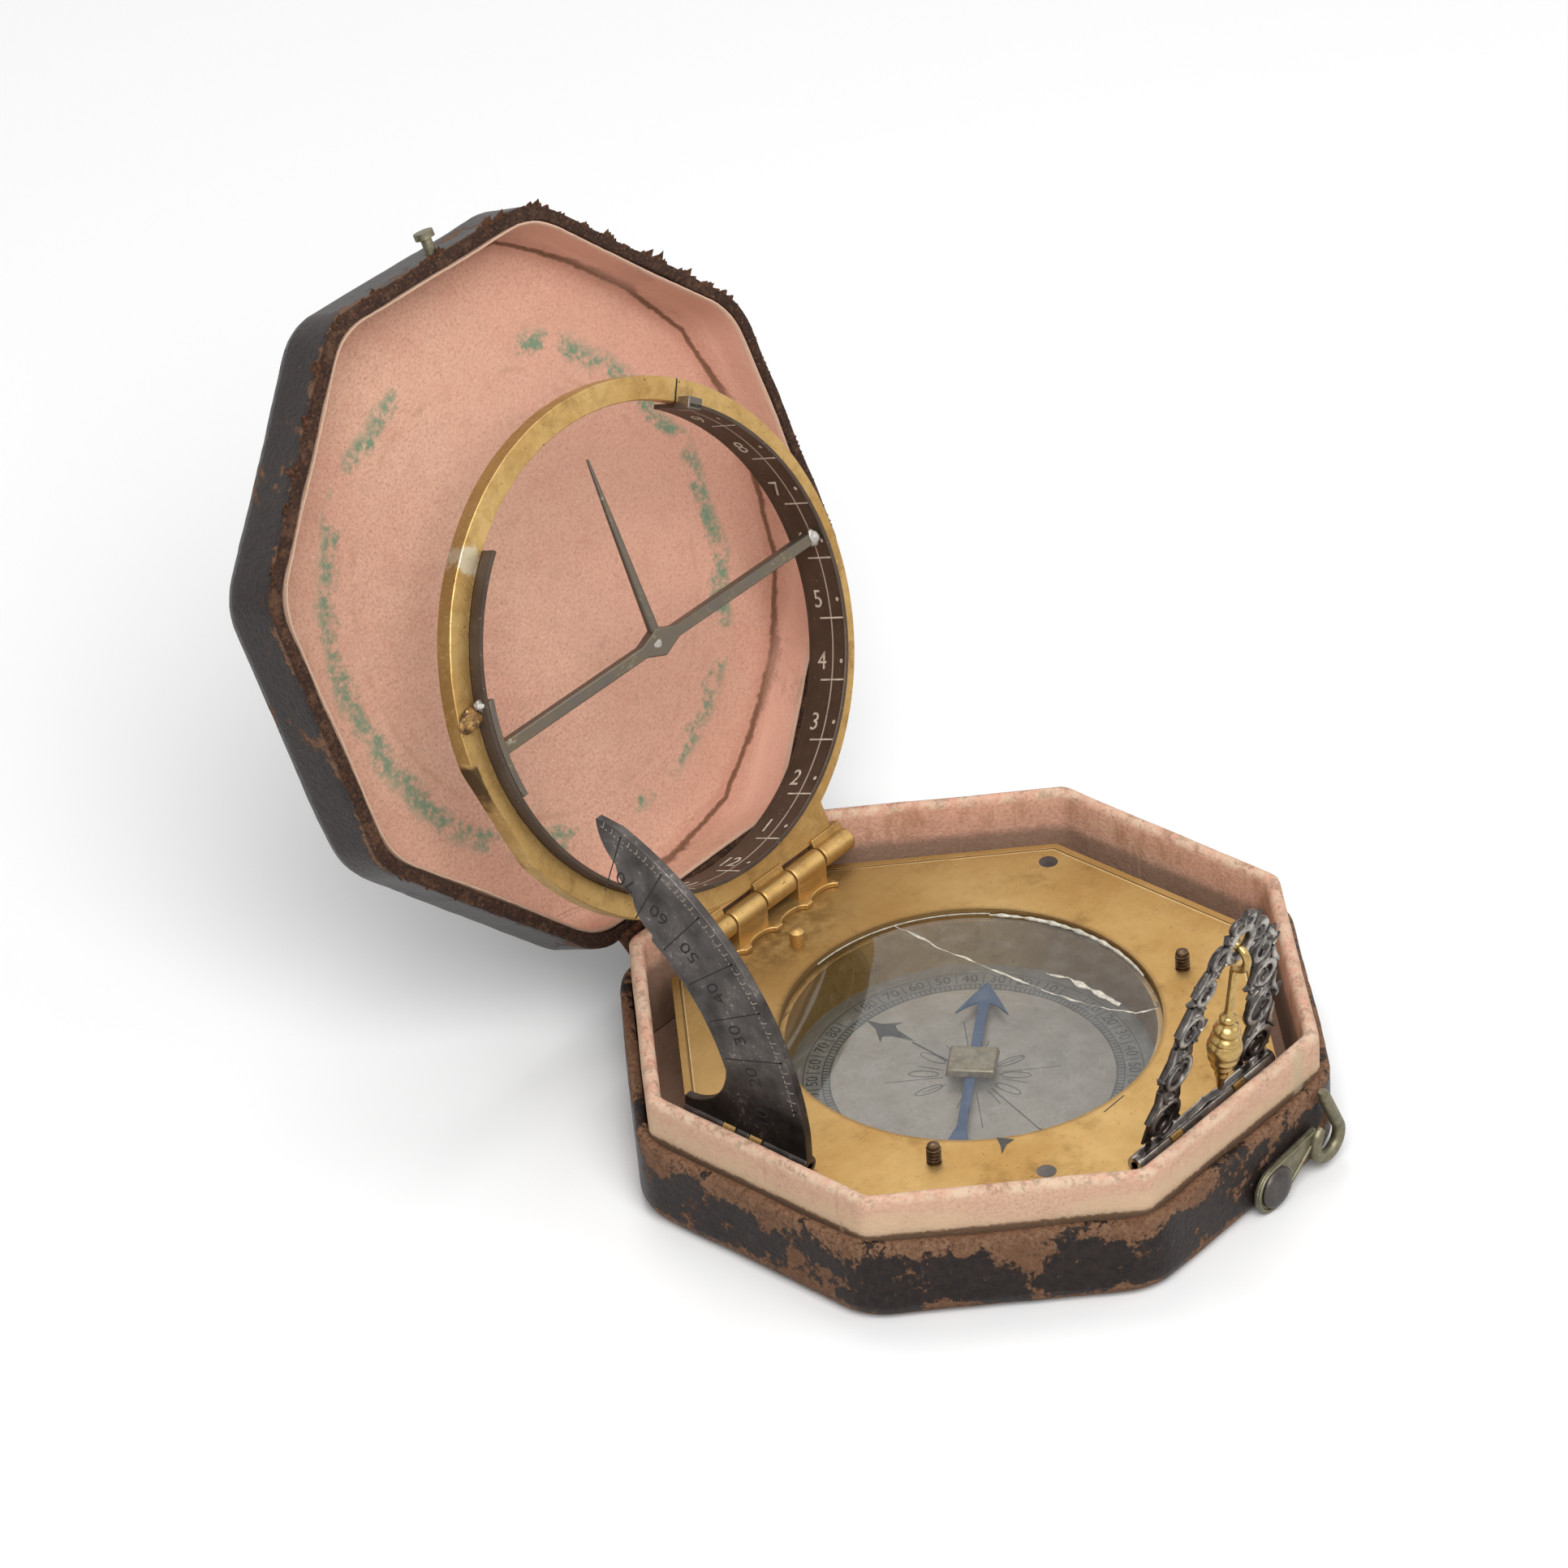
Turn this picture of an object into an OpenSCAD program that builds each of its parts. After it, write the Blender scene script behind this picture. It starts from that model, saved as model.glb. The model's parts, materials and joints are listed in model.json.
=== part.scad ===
// Pocket equatorial sundial with a compass, in an eight-sided leather case.
// Origin: centre of the case's underside. +Z is up, +Y the hinge side, -Y the catch side.

/* [Base plate] */
// Plate size across its flats
plate_flats = 50; // [49:0.25:51]
// Plate thickness
plate_t = 1; // [0.8:0.1:1.4]
// Diameter of the round window over the compass
window_d = 33; // [30:0.5:33.5]
// Diameter of the threaded screw ends
screw_d = 1.3; // [0.9:0.1:1.6]
// Height of the screw ends above the plate
screw_rise = 2.3; // [1:0.1:2.6]
// Diameter of the flush rivets
flush_d = 1.7; // [1:0.1:2.2]

/* [Case] */
// Height of the leather base
base_h = 8; // [7.5:0.25:12]
// Gap between the plate and the lined wall
plate_gap = 2.1; // [2:0.1:3]
// Thickness of the lined wall
collar_t = 1.3; // [1:0.1:1.8]
// Height of the lined wall above the leather
collar_rise = 4; // [3.6:0.1:4]
// Thickness of the leather
leather_t = 1.1; // [0.9:0.1:1.6]
// Rounding of the base's lower edge
base_edge_r = 1.5; // [0.8:0.1:2]
// Thickness of the floor linings
lining_t = 0.4; // [0.2:0.1:0.6]

/* [Lid] */
// Depth of the lid
lid_depth = 7.5; // [7:0.25:10]
// Rounding of the lid's back edge
lid_edge_r = 2; // [1:0.1:2.4]
// Thickness of the lid's leather and of its lining, each
lid_skin_t = 0.8; // [0.6:0.05:1]
// Clearance between the closed lid and the lined wall
lid_clear = 0.4; // [0.3:0.1:0.8]
// Height of the lid's hinge line above the leather base
lid_hinge_rise = 1.5; // [1:0.1:2]
// Angle that the lid stands open
lid_open = 114.3; // [112:0.1:118]

/* [Compass] */
// Wall of the compass box outside the window
box_wall = 0.9; // [0.6:0.1:1.5]
// Ledge that carries the glass
glass_ledge = 0.5; // [0.3:0.1:0.8]
// Thickness of the glass
glass_t = 0.5; // [0.3:0.1:0.8]
// Thickness of the dial
dial_t = 0.3; // [0.2:0.05:0.5]
// Length of the needle
needle_len = 23.3; // [18:0.1:27]
// Thickness of the needle
needle_t = 0.25; // [0.2:0.05:0.4]
// Height of the needle above the dial
needle_rise = 0.9; // [0.6:0.1:1.5]
// Direction of the needle's tip from +X
needle_angle = 32.6; // [0:0.1:360]

/* [Hour ring] */
// Outer diameter of the gilt ring
ring_d = 47; // [45:0.25:47]
// Radial width of the gilt ring
ring_w = 2.1; // [1.6:0.1:2.4]
// Thickness of the gilt ring along its axis
ring_t = 1.75; // [1.2:0.05:1.85]
// Thickness of the chapter band
band_t = 0.4; // [0.3:0.05:0.6]
// Width of the chapter band along the ring's axis
band_w = 4.7; // [4:0.1:4.8]
// Angle round the ring that the chapter band covers
band_sweep = 285; // [240:1:300]
// Angle that the ring leans back when it is raised
ring_open = 112; // [100:0.5:112]
// Radius of the ring hinge's knuckles
ring_knuckle_r = 1.05; // [0.9:0.05:1.15]
// Length of one knuckle of the ring hinge
ring_knuckle_len = 4; // [3:0.1:4.4]

/* [Gnomon] */
// Diameter of the gnomon bar
bar_d = 1.1; // [0.9:0.05:1.4]
// Length of the gnomon pin
gnomon_len = 17.4; // [12:0.1:18]
// Diameter of the gnomon pin at its root
gnomon_root_d = 1.1; // [0.8:0.05:1.3]

/* [Latitude arc] */
// Outer radius of the arc
arc_r = 27.5; // [26:0.25:27.5]
// Inner radius of the arc
arc_inner_r = 19.8; // [18.5:0.1:20.4]
// Thickness of the arc
arc_t = 0.8; // [0.6:0.05:0.9]

/* [Plumb bracket] */
// Thickness of the bracket
bracket_t = 0.8; // [0.6:0.05:0.9]
// Angle that the bracket leans outward
bracket_lean = 12.5; // [12:0.1:15]
// Height of the apex ring's centre above the hinge line
apex_h = 19.6; // [19:0.05:20.5]
// Width across the bracket's feet
bracket_w = 18.5; // [18:0.1:20]

/* [Plumb bob] */
// Length of the bob below its hook
bob_len = 13.4; // [12.5:0.1:14.4]
// Largest diameter of the bob
bob_d = 3.5; // [2.8:0.1:3.6]
// Angle between the bob and the bracket
bob_tilt = 4.5; // [4.5:0.1:6]
// Diameter of the hook's wire
hook_wire_d = 0.7; // [0.5:0.05:0.7]

/* [Catch] */
// Height of the catch's rivet above the ground
catch_z = 2.3; // [2.2:0.1:4]
// Radius of the rivet's head
catch_head_r = 1.9; // [1.2:0.1:2]
// Diameter of the catch's wire
catch_wire_d = 1.2; // [0.8:0.1:1.3]

/* [Hidden] */
// Tangent that gives the corner of a regular octagon from its half-width
corner = tan(22.5);
// Radial clearance of a turning fit
fit = 0.05;
// Space between pieces that move past each other
gap = 0.15;
$fn = 64;

plate_half = plate_flats / 2;
plate_top = base_h;
plate_under = plate_top - plate_t;
window_r = window_d / 2;
collar_half = plate_half + plate_gap;
collar_out = collar_half + collar_t;
case_half = collar_out + leather_t;
collar_top = base_h + collar_rise;

lid_wall = 2 * lid_skin_t;
lid_half = collar_out + lid_clear + lid_wall;
lid_hinge_y = lid_half + 0.4;
lid_hinge_z = base_h + lid_hinge_rise;
hinge_roll_r = 0.55;
hinge_strip_w = 20;
hinge_strip_drop = 5;
hinge_relief_r = hinge_roll_r + 0.4;

box_bottom = leather_t + lining_t;
box_floor_t = 0.5;
dial_top = box_bottom + box_floor_t + dial_t;
needle_z = dial_top + needle_rise;
needle_hub_r = 1.6;
pivot_r = 0.25;

// Screws keep inside the folded chapter band and outside the compass box
ring_outer = ring_d / 2;
ring_inner = ring_outer - ring_w;
band_inner = ring_inner - band_t;
ring_x = 0.4;
ring_edge_gap = 1.35;
ring_reach = ring_outer + ring_edge_gap;
ring_hinge_y = plate_half - 1.1;
ring_hinge_z = plate_top + 2.4;
ring_front = 0.35;
band_front = ring_front - 1.4;
ring_leaf_t = 0.5;
ring_leaf_depth = 2.8;
leaf_front = 2;
leaf_hollows = 4;
leaf_hollow_r = 1.8;
ring_pin_r = 0.45;
knuckle_count = 5;
knuckle_start = -8;
tab_half = 9.6;
screw_reach = (window_r + box_wall + band_inner) / 2 + 0.3;
screw_angles = [210, -31];
stud_y = 19.4;

bar_w = 0.6;
bar_z = 0.1;
journal_r = 0.3;
strip_t = 0.4;
strip_w = 2.3;
strip_up = 5.2;
strip_down = 3.7;
strip_x = -(band_inner - 0.2);
block_t = 0.8;

arc_hinge_x = -(plate_half - 0.9);
arc_hinge_z = plate_top + 0.8;
barrel_r = 0.8;
small_pin_r = 0.35;
arc_foot_start = -2.4;
arc_foot_end = 11;
arc_tabs = [3.1, 6];
foot_rise = barrel_r + 0.8;
foot_sweep_r = 5;
arc_centre = [25, 0.7];
tab_len = 1.3;

bracket_x = 0.9;
bracket_hinge_y = -(plate_half - 0.8);
bracket_hinge_z = plate_top + 0.8;
lug_len = 1.4;
lug_xs = [-4.3, 4.3];
apex_hole_r = 1.05;
apex_ring_r = 2.25;
hook_bar = apex_ring_r - apex_hole_r;
hook_h = apex_h - apex_hole_r - hook_bar / 2;
hook_r = hook_bar / 2 + 0.2 + hook_wire_d / 2;

catch_x = 2.8;
catch_plate_t = 0.5;
catch_face_gap = 0.25;
rivet_shank_r = 0.6;

// A regular octagon with flats across X and Y
function octagon_points(half) = let (c = half * corner)
  [[half, c], [c, half], [-c, half], [-half, c], [-half, -c], [-c, -half], [c, -half], [half, -c]];

module octagon(half) polygon(octagon_points(half));

// Octagonal block on z = 0 whose lower edge is rounded
module soft_octagon(half, height, edge_r) {
  intersection_for (turn = [0, 45, 90, 135])
    rotate([90, 0, turn])
      linear_extrude(4 * half, center = true)
        rounded_slab(half, height, edge_r);
}

module rounded_slab(half, height, edge_r) {
  translate([-half, edge_r]) square([2 * half, height - edge_r]);
  translate([edge_r - half, 0]) square([2 * (half - edge_r), height]);
  for (side = [-1, 1]) translate([side * (half - edge_r), edge_r]) circle(edge_r);
}

// Cylinder along X between two places
module rod_x(r, from, to) translate([from, 0, 0]) rotate([0, 90, 0]) cylinder(r = r, h = to - from);

// Cylinder along Y between two places
module rod_y(r, from, to) translate([0, from, 0]) rotate([-90, 0, 0]) cylinder(r = r, h = to - from);

// Places that the moving pieces stand in
module lid_place() translate([0, lid_hinge_y, lid_hinge_z]) rotate([-lid_open, 0, 0]) children();
module ring_place() translate([ring_x, ring_hinge_y, ring_hinge_z]) rotate([-ring_open, 0, 0]) children();
module arc_place() translate([arc_hinge_x, 0, arc_hinge_z]) children();
module bracket_place()
  translate([bracket_x, bracket_hinge_y, bracket_hinge_z]) rotate([bracket_lean, 0, 0]) children();
module bob_place() bracket_place() translate([0, 0, hook_h]) rotate([-bob_tilt, 0, 0]) children();
module catch_place() translate([catch_x, -case_half, catch_z]) children();
module needle_place() translate([0, 0, needle_z]) rotate(needle_angle) children();

module base_shell() color("saddlebrown") difference() {
  soft_octagon(case_half, base_h, base_edge_r);
  translate([0, 0, leather_t]) linear_extrude(base_h) octagon(collar_out);
  catch_place() rod_y(rivet_shank_r, -1, leather_t + 1);
}

module base_collar() color("lightpink") translate([0, 0, leather_t])
  linear_extrude(collar_top - leather_t) difference() {
    octagon(collar_out);
    octagon(collar_half);
  }

module base_floor_lining() color("pink") translate([0, 0, leather_t])
  linear_extrude(lining_t) octagon(collar_half);

// Leather strip glued to the base's back wall, rolled round the lid's hinge line
module leather_hinge() color("sienna")
  translate([-hinge_strip_w / 2, 0, 0]) rotate([90, 0, 90]) linear_extrude(hinge_strip_w) {
    translate([lid_hinge_y, lid_hinge_z]) circle(hinge_roll_r);
    polygon([[case_half, base_h - hinge_strip_drop], [case_half + 0.6, base_h - hinge_strip_drop],
      [case_half + 0.6, base_h + 0.1], [lid_hinge_y + 0.3, lid_hinge_z - 0.4],
      [lid_hinge_y - 0.3, lid_hinge_z + 0.4], [case_half, base_h + 0.8]]);
  }

module lid_shell() color("saddlebrown") lid_place() difference() {
  translate([0, -lid_half, lid_depth]) mirror([0, 0, 1]) soft_octagon(lid_half, lid_depth, lid_edge_r);
  translate([0, -lid_half, -1]) linear_extrude(lid_depth - lid_skin_t + 1)
    octagon(lid_half - lid_skin_t);
  hinge_relief();
}

module hinge_relief() rod_x(hinge_relief_r, -hinge_strip_w / 2 - gap, hinge_strip_w / 2 + gap);

module lid_wall_lining() color("pink") lid_place() difference() {
  translate([0, -lid_half, 0]) linear_extrude(lid_depth - lid_skin_t) difference() {
    octagon(lid_half - lid_skin_t);
    octagon(lid_half - lid_wall);
  }
  hinge_relief();
}

module lid_floor_lining() color("pink") lid_place()
  translate([0, -lid_half, lid_depth - lid_wall]) linear_extrude(lid_skin_t)
    octagon(lid_half - lid_wall);

module lid_stud() color("darkgoldenrod") lid_place() translate([1.3, -2 * lid_half, 1.6]) {
  rod_y(0.5, -1.6, 0);
  rod_y(0.9, -2.1, -1.5);
}

module screw_spots() {
  for (turn = screw_angles)
    translate([screw_reach * cos(turn), screw_reach * sin(turn), 0]) children();
}

module flush_spots() for (spot = [[22.4, 9.2], [-12.4, -18.1]]) translate(spot) children();

module base_plate() color("goldenrod") translate([0, 0, plate_under]) difference() {
  linear_extrude(plate_t) octagon(plate_half);
  translate([0, 0, -1]) cylinder(r = window_r, h = plate_t + 2, $fn = 128);
  translate([0, 0, -1]) screw_spots() cylinder(d = screw_d, h = plate_t + 2);
  translate([0, stud_y, -1]) cylinder(d = screw_d, h = plate_t + 2);
  translate([0, 0, -1]) flush_spots() cylinder(d = flush_d, h = plate_t + 2);
}

module compass_box() color("darkgoldenrod") translate([0, 0, box_bottom]) difference() {
  cylinder(r = window_r + box_wall, h = plate_under - box_bottom, $fn = 128);
  translate([0, 0, box_floor_t])
    cylinder(r = window_r - glass_ledge, h = plate_under - box_bottom, $fn = 128);
}

module compass_dial() color("silver") translate([0, 0, dial_top - dial_t]) difference() {
  cylinder(r = window_r - glass_ledge, h = dial_t, $fn = 128);
  translate([0, 0, -1]) cylinder(r = 0.5, h = dial_t + 2);
}

module compass_glass() color("lightcyan", 0.4) translate([0, 0, plate_under])
  cylinder(r = window_r - fit, h = glass_t, $fn = 128);

module needle_pivot() color("darkgoldenrod") translate([0, 0, dial_top - dial_t]) {
  cylinder(r = 0.5, h = dial_t + needle_rise - gap);
  cylinder(r = pivot_r, h = dial_t + needle_rise + needle_t);
}

// Needle with a barbed head and a flared tail, drawn along +X
module compass_needle() color("midnightblue") needle_place() difference() {
  linear_extrude(needle_t) {
    circle(needle_hub_r);
    translate([0.4 - needle_len / 2, -0.45]) square([needle_len - 2, 0.9]);
    polygon([[needle_len / 2 + 0.35, 0], [needle_len / 2 - 4.6, 1.9], [needle_len / 2 - 3.4, 0],
      [needle_len / 2 - 4.6, -1.9]]);
    polygon([[0.35 - needle_len / 2, 1.15], [1.2 - needle_len / 2, 0], [0.35 - needle_len / 2, -1.15],
      [5 - needle_len / 2, -0.45], [5 - needle_len / 2, 0.45]]);
  }
  translate([0, 0, -1]) cylinder(r = pivot_r + fit, h = needle_t + 2);
}

module needle_cap() color("goldenrod") needle_place() translate([0, 0, needle_t])
  linear_extrude(0.5) square([3.5, 4.2], center = true);

module compass_screws() color("goldenrod") translate([0, 0, plate_under])
  screw_spots() cylinder(d = screw_d, h = plate_t + screw_rise);

module domed_stud() color("goldenrod") translate([0, stud_y, plate_under]) intersection() {
  cylinder(d = screw_d, h = plate_t + 1.5);
  translate([0, 0, plate_t + 0.3]) sphere(d = 2.4);
}

module flush_rivets() color("dimgray") translate([0, 0, plate_under])
  flush_spots() cylinder(d = flush_d, h = plate_t);

// True for the knuckles that belong to the plate's leaf
function is_leaf_knuckle(i) = i % 2 == 1;
function knuckle_from(i) = knuckle_start + i * ring_knuckle_len;

// Leaf whose front edge is cut into cusps between shallow hollows
module leaf_outline() difference() {
  from = knuckle_start;
  width = ring_knuckle_len * knuckle_count - 3.6;
  translate([from, -leaf_front]) square([width, ring_leaf_depth]);
  for (i = [0 : leaf_hollows - 1])
    translate([from + (i + 0.5) * width / leaf_hollows, -leaf_front - leaf_hollow_r + 0.65])
      circle(leaf_hollow_r);
}

module ring_hinge_leaf() color("goldenrod") translate([ring_x, ring_hinge_y, 0]) difference() {
  union() {
    translate([0, 0, plate_top]) linear_extrude(ring_leaf_t) leaf_outline();
    for (i = [0 : knuckle_count - 1]) if (is_leaf_knuckle(i))
      translate([knuckle_from(i) + gap / 2, 0, 0]) {
        translate([0, -ring_knuckle_r, plate_top])
          cube([ring_knuckle_len - gap, 2 * ring_knuckle_r, ring_hinge_z - plate_top]);
        translate([0, 0, ring_hinge_z]) rod_x(ring_knuckle_r, 0, ring_knuckle_len - gap);
      }
  }
  translate([0, 0, ring_hinge_z]) rod_x(ring_pin_r, knuckle_start - 1, knuckle_from(knuckle_count) + 1);
}

module ring_hinge_pin() color("goldenrod") translate([ring_x, ring_hinge_y, ring_hinge_z])
  rod_x(ring_pin_r, knuckle_start, knuckle_from(knuckle_count));

// Gilt ring with its hinge tab, drawn folded flat with the hinge line on the X axis
module hour_ring() color("goldenrod") ring_place() difference() {
  union() {
    translate([0, -ring_reach, ring_front]) difference() {
      cylinder(r = ring_outer, h = ring_t, $fn = 160);
      rotate(-192) translate([ring_outer - 0.6, -6, -1]) cube([2, 12, ring_t + 2]);
    }
    translate([0, 0, ring_front]) linear_extrude(ring_t)
      translate([-tab_half + 1.4, -4]) square([2 * tab_half, 4 - ring_knuckle_r + 0.6]);
    for (i = [0 : knuckle_count - 1]) if (!is_leaf_knuckle(i))
      translate([knuckle_from(i) + gap / 2, 0, 0]) {
        rod_x(ring_knuckle_r, 0, ring_knuckle_len - gap);
        translate([0, -2, 0]) cube([ring_knuckle_len - gap, 2, ring_knuckle_r]);
      }
    translate([0, -ring_reach, band_front]) rotate(-52) translate([ring_inner - 0.9, 0, 0])
      cube([1.2, 1.6, ring_front - band_front + 0.6]);
  }
  translate([0, -ring_reach, -5]) cylinder(r = ring_inner, h = 10, $fn = 160);
  rod_x(ring_pin_r + fit, knuckle_start - 1, knuckle_from(knuckle_count) + 1);
  for (i = [0 : knuckle_count - 1]) if (is_leaf_knuckle(i))
    rod_x(ring_knuckle_r + gap, knuckle_from(i) - gap / 2, knuckle_from(i + 1) + gap / 2);
}

// Thin band inside the ring, open round the ring's top
module chapter_band() color("dimgray") ring_place() difference() {
  translate([0, -ring_reach, band_front]) rotate(90 - band_sweep / 2 - 3.1)
    rotate_extrude(angle = band_sweep, $fn = 160)
      translate([band_inner, 0]) square([band_t, band_w]);
  gnomon_place() rod_x(journal_r + fit, 0, ring_outer);
  translate([-ring_outer, -ring_reach - strip_up - 0.6, band_front - 1])
    cube([ring_outer, strip_up + strip_down + 1, ring_front - band_front + 1]);
}

module gnomon_place() translate([0, -ring_reach - bar_w, bar_z]) children();

// Upright strip that stands in the band's notch and carries the gnomon's left end
module gnomon_strip() color("dimgray") ring_place() difference() {
  translate([strip_x, -ring_reach - strip_up, bar_z - strip_w / 2])
    cube([strip_t, strip_up + strip_down, strip_w]);
  gnomon_place() rod_x(journal_r + fit, -ring_outer, 0);
  translate([0, -ring_reach, ring_front]) difference() {
    cylinder(r = ring_outer, h = band_w, $fn = 160);
    translate([0, 0, -1]) cylinder(r = band_inner, h = band_w + 2, $fn = 160);
  }
}

// Soldered block that ties the strip to the front of the gilt ring
module strip_block() color("silver") ring_place() intersection() {
  translate([-ring_outer, -ring_reach - strip_up, ring_front - block_t])
    cube([ring_outer + strip_x, 1.8, block_t]);
  translate([0, -ring_reach, ring_front - block_t]) cylinder(r = ring_outer - 0.3, h = block_t, $fn = 160);
}

module gnomon_bar() color("goldenrod") ring_place() gnomon_place() difference() {
  union() {
    rod_x(bar_d / 2, strip_x + strip_t + gap, band_inner - 0.5);
    rod_x(journal_r, strip_x + 0.1, band_inner + 0.15);
    translate([0, 0, -bar_d / 2]) linear_extrude(bar_d)
      polygon([[2, 0], [0, 1.3], [-2, 0], [0, -1.3]]);
  }
  rotate([90, 0, 0]) cylinder(d1 = gnomon_root_d * 0.6, d2 = gnomon_root_d * 0.6, h = 2);
}

module gnomon_pin() color("goldenrod") ring_place() gnomon_place() rotate([90, 0, 0]) {
  cylinder(d = gnomon_root_d * 0.6, h = 1.4);
  translate([0, 0, 1.3]) cylinder(d1 = gnomon_root_d, d2 = 0.3, h = gnomon_len - 1.3);
}

module arc_hinge_leaf() color("goldenrod") arc_place() difference() {
  for (y = arc_tabs) {
    rod_y_at(y, tab_len, barrel_r);
    translate([-barrel_r, y - tab_len / 2, -barrel_r]) cube([2 * barrel_r, tab_len, barrel_r]);
  }
  rod_y(small_pin_r, arc_foot_start - 1, arc_foot_end + 1);
}

module rod_y_at(middle, length, r) rod_y(r, middle - length / 2, middle + length / 2);

module arc_hinge_pin() color("goldenrod") arc_place() rod_y(small_pin_r, arc_foot_start, arc_foot_end);

// Arc of a circle through p and q that bulges into the arc by the given depth
module scallop(p, q, depth) {
  span = norm(q - p);
  r = (span * span / 4 + depth * depth) / (2 * depth);
  along = (q - p) / span;
  side = [along[1], -along[0]];
  translate((p + q) / 2 + side * (r - depth)) circle(r);
}

function on_arc(r, angle) = arc_centre + r * [-cos(angle), sin(angle)];

// Low foot that runs along the hinge line and sweeps up into the arc
module arc_foot() difference() {
  translate([arc_foot_start + 5, 0]) square([arc_foot_end - arc_foot_start - 5, 6]);
  translate([arc_foot_end, foot_sweep_r + foot_rise]) circle(foot_sweep_r);
}

// Outline of the arc in its own plane: first axis along +Y, second axis up
module arc_outline() {
  tip = on_arc(arc_r - 1.4, 76);
  cusps = [on_arc(arc_inner_r + 0.6, 54.5), on_arc(arc_inner_r + 1.5, 64.5),
    on_arc(arc_inner_r + 3.1, 69.5)];
  difference() {
    intersection() {
      translate(arc_centre) circle(arc_r, $fn = 160);
      polygon([[arc_foot_start, 0], [arc_foot_end, 0], arc_centre + [4 - arc_inner_r, 1], cusps[0],
        tip, on_arc(arc_r + 0.2, 71), [-4, 18], [arc_foot_start, 4]]);
    }
    translate(arc_centre) circle(arc_inner_r, $fn = 160);
    scallop(cusps[0], cusps[1], 0.5);
    scallop(cusps[1], cusps[2], 0.4);
    scallop(cusps[2], tip, 0.5);
    polygon([arc_centre, cusps[0], cusps[1], cusps[2], tip]);
  }
  arc_foot();
}

module latitude_arc() color("slategray") arc_place() difference() {
  union() {
    translate([arc_t / 2, 0, 0]) rotate([90, 0, 90]) mirror([0, 0, 1])
      linear_extrude(arc_t) arc_outline();
    rod_y(barrel_r, arc_foot_start, arc_foot_end);
  }
  rod_y(small_pin_r + fit, arc_foot_start - 1, arc_foot_end + 1);
  for (y = arc_tabs) rod_y_at(y, tab_len + 2 * gap, barrel_r + gap);
}

module bracket_lug_block(x) {
  rod_x(barrel_r, x - lug_len / 2, x + lug_len / 2);
  translate([x - lug_len / 2, -barrel_r, -barrel_r]) cube([lug_len, 2 * barrel_r, barrel_r]);
}

module bracket_hinge_leaf() color("goldenrod")
  translate([bracket_x, bracket_hinge_y, bracket_hinge_z]) difference() {
    for (x = lug_xs) bracket_lug_block(x);
    rod_x(small_pin_r, -bracket_w, bracket_w);
  }

module bracket_hinge_pin() color("goldenrod")
  translate([bracket_x, bracket_hinge_y, bracket_hinge_z])
    rod_x(small_pin_r, -bracket_w / 2, bracket_w / 2);

// Scroll pierced by a crescent that winds round its eye, which lies on the given side
module scroll(at, r, wall, eye_angle) translate(at) {
  eye_r = 0.42 * r;
  difference() {
    circle(r);
    difference() {
      circle(r - wall);
      rotate(eye_angle) translate([r - wall - eye_r + 0.25, 0]) circle(eye_r);
    }
  }
}

// Pointed leaf that grows out of a scroll
module leaf_tip(at, angle, length) translate(at) rotate(angle)
  polygon([[-0.6, -0.7], [length, 0], [-0.6, 0.7]]);

// Scrolls of one leg, from the foot to the shoulder: place, radius and side of the eye
function leg_scrolls(foot) = let (rise = apex_h / 20)
  [[[foot - 2.8, 3.6 * rise], 2.75 * rise, 100], [[foot - 3.5, 8.5 * rise], 2.55 * rise, 250],
    [[foot - 4.2, 12.9 * rise], 2.25 * rise, 80], [[foot - 5.25, 16.7 * rise], 1.95 * rise, 230],
    [[foot - 6.6, 19.7 * rise], 1.75 * rise, 110]];

// One pierced leg of linked scrolls, for the +X side
module bracket_leg() {
  foot = bracket_w / 2;
  scrolls = leg_scrolls(foot);
  for (s = scrolls) scroll(s[0], s[1], 0.85, s[2]);
  for (i = [0 : len(scrolls) - 2]) {
    middle = (scrolls[i][0] + scrolls[i + 1][0]) / 2;
    leaf_tip(middle + [0.7, 0], 25, 1.7);
    leaf_tip(middle - [0.7, 0], 195, 1.3);
  }
}

module plumb_bracket() color("slategray") bracket_place() difference() {
  union() {
    rotate([90, 0, 0]) linear_extrude(bracket_t, center = true) {
      bracket_leg();
      mirror([1, 0]) bracket_leg();
      translate([0, apex_h]) circle(apex_ring_r);
      translate([0, apex_h]) square([bracket_w / 2, 1.2], center = true);
      scroll([0, apex_h + 2.3], 1.3, 0.5, -90);
      translate([-bracket_w / 2, 0]) square([bracket_w, foot_rise]);
      intersection() {
        scroll([0, 0], 1.7, 0.6, -90);
        translate([-2, 0]) square([4, 3]);
      }
    }
    rod_x(barrel_r, -bracket_w / 2, bracket_w / 2);
  }
  translate([0, 0, apex_h]) rotate([90, 0, 0]) cylinder(r = apex_hole_r, h = 4, center = true);
  rod_x(small_pin_r + fit, -bracket_w, bracket_w);
  for (x = lug_xs) rod_x(barrel_r + gap, x - lug_len / 2 - gap, x + lug_len / 2 + gap);
}

// Turned bob hanging down from the hook, drawn along -Z
module plumb_bob() color("gold") bob_place() difference() {
  translate([0, 0, -hook_r - bob_len]) rotate_extrude() bob_profile();
  hook_wire();
}

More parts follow.
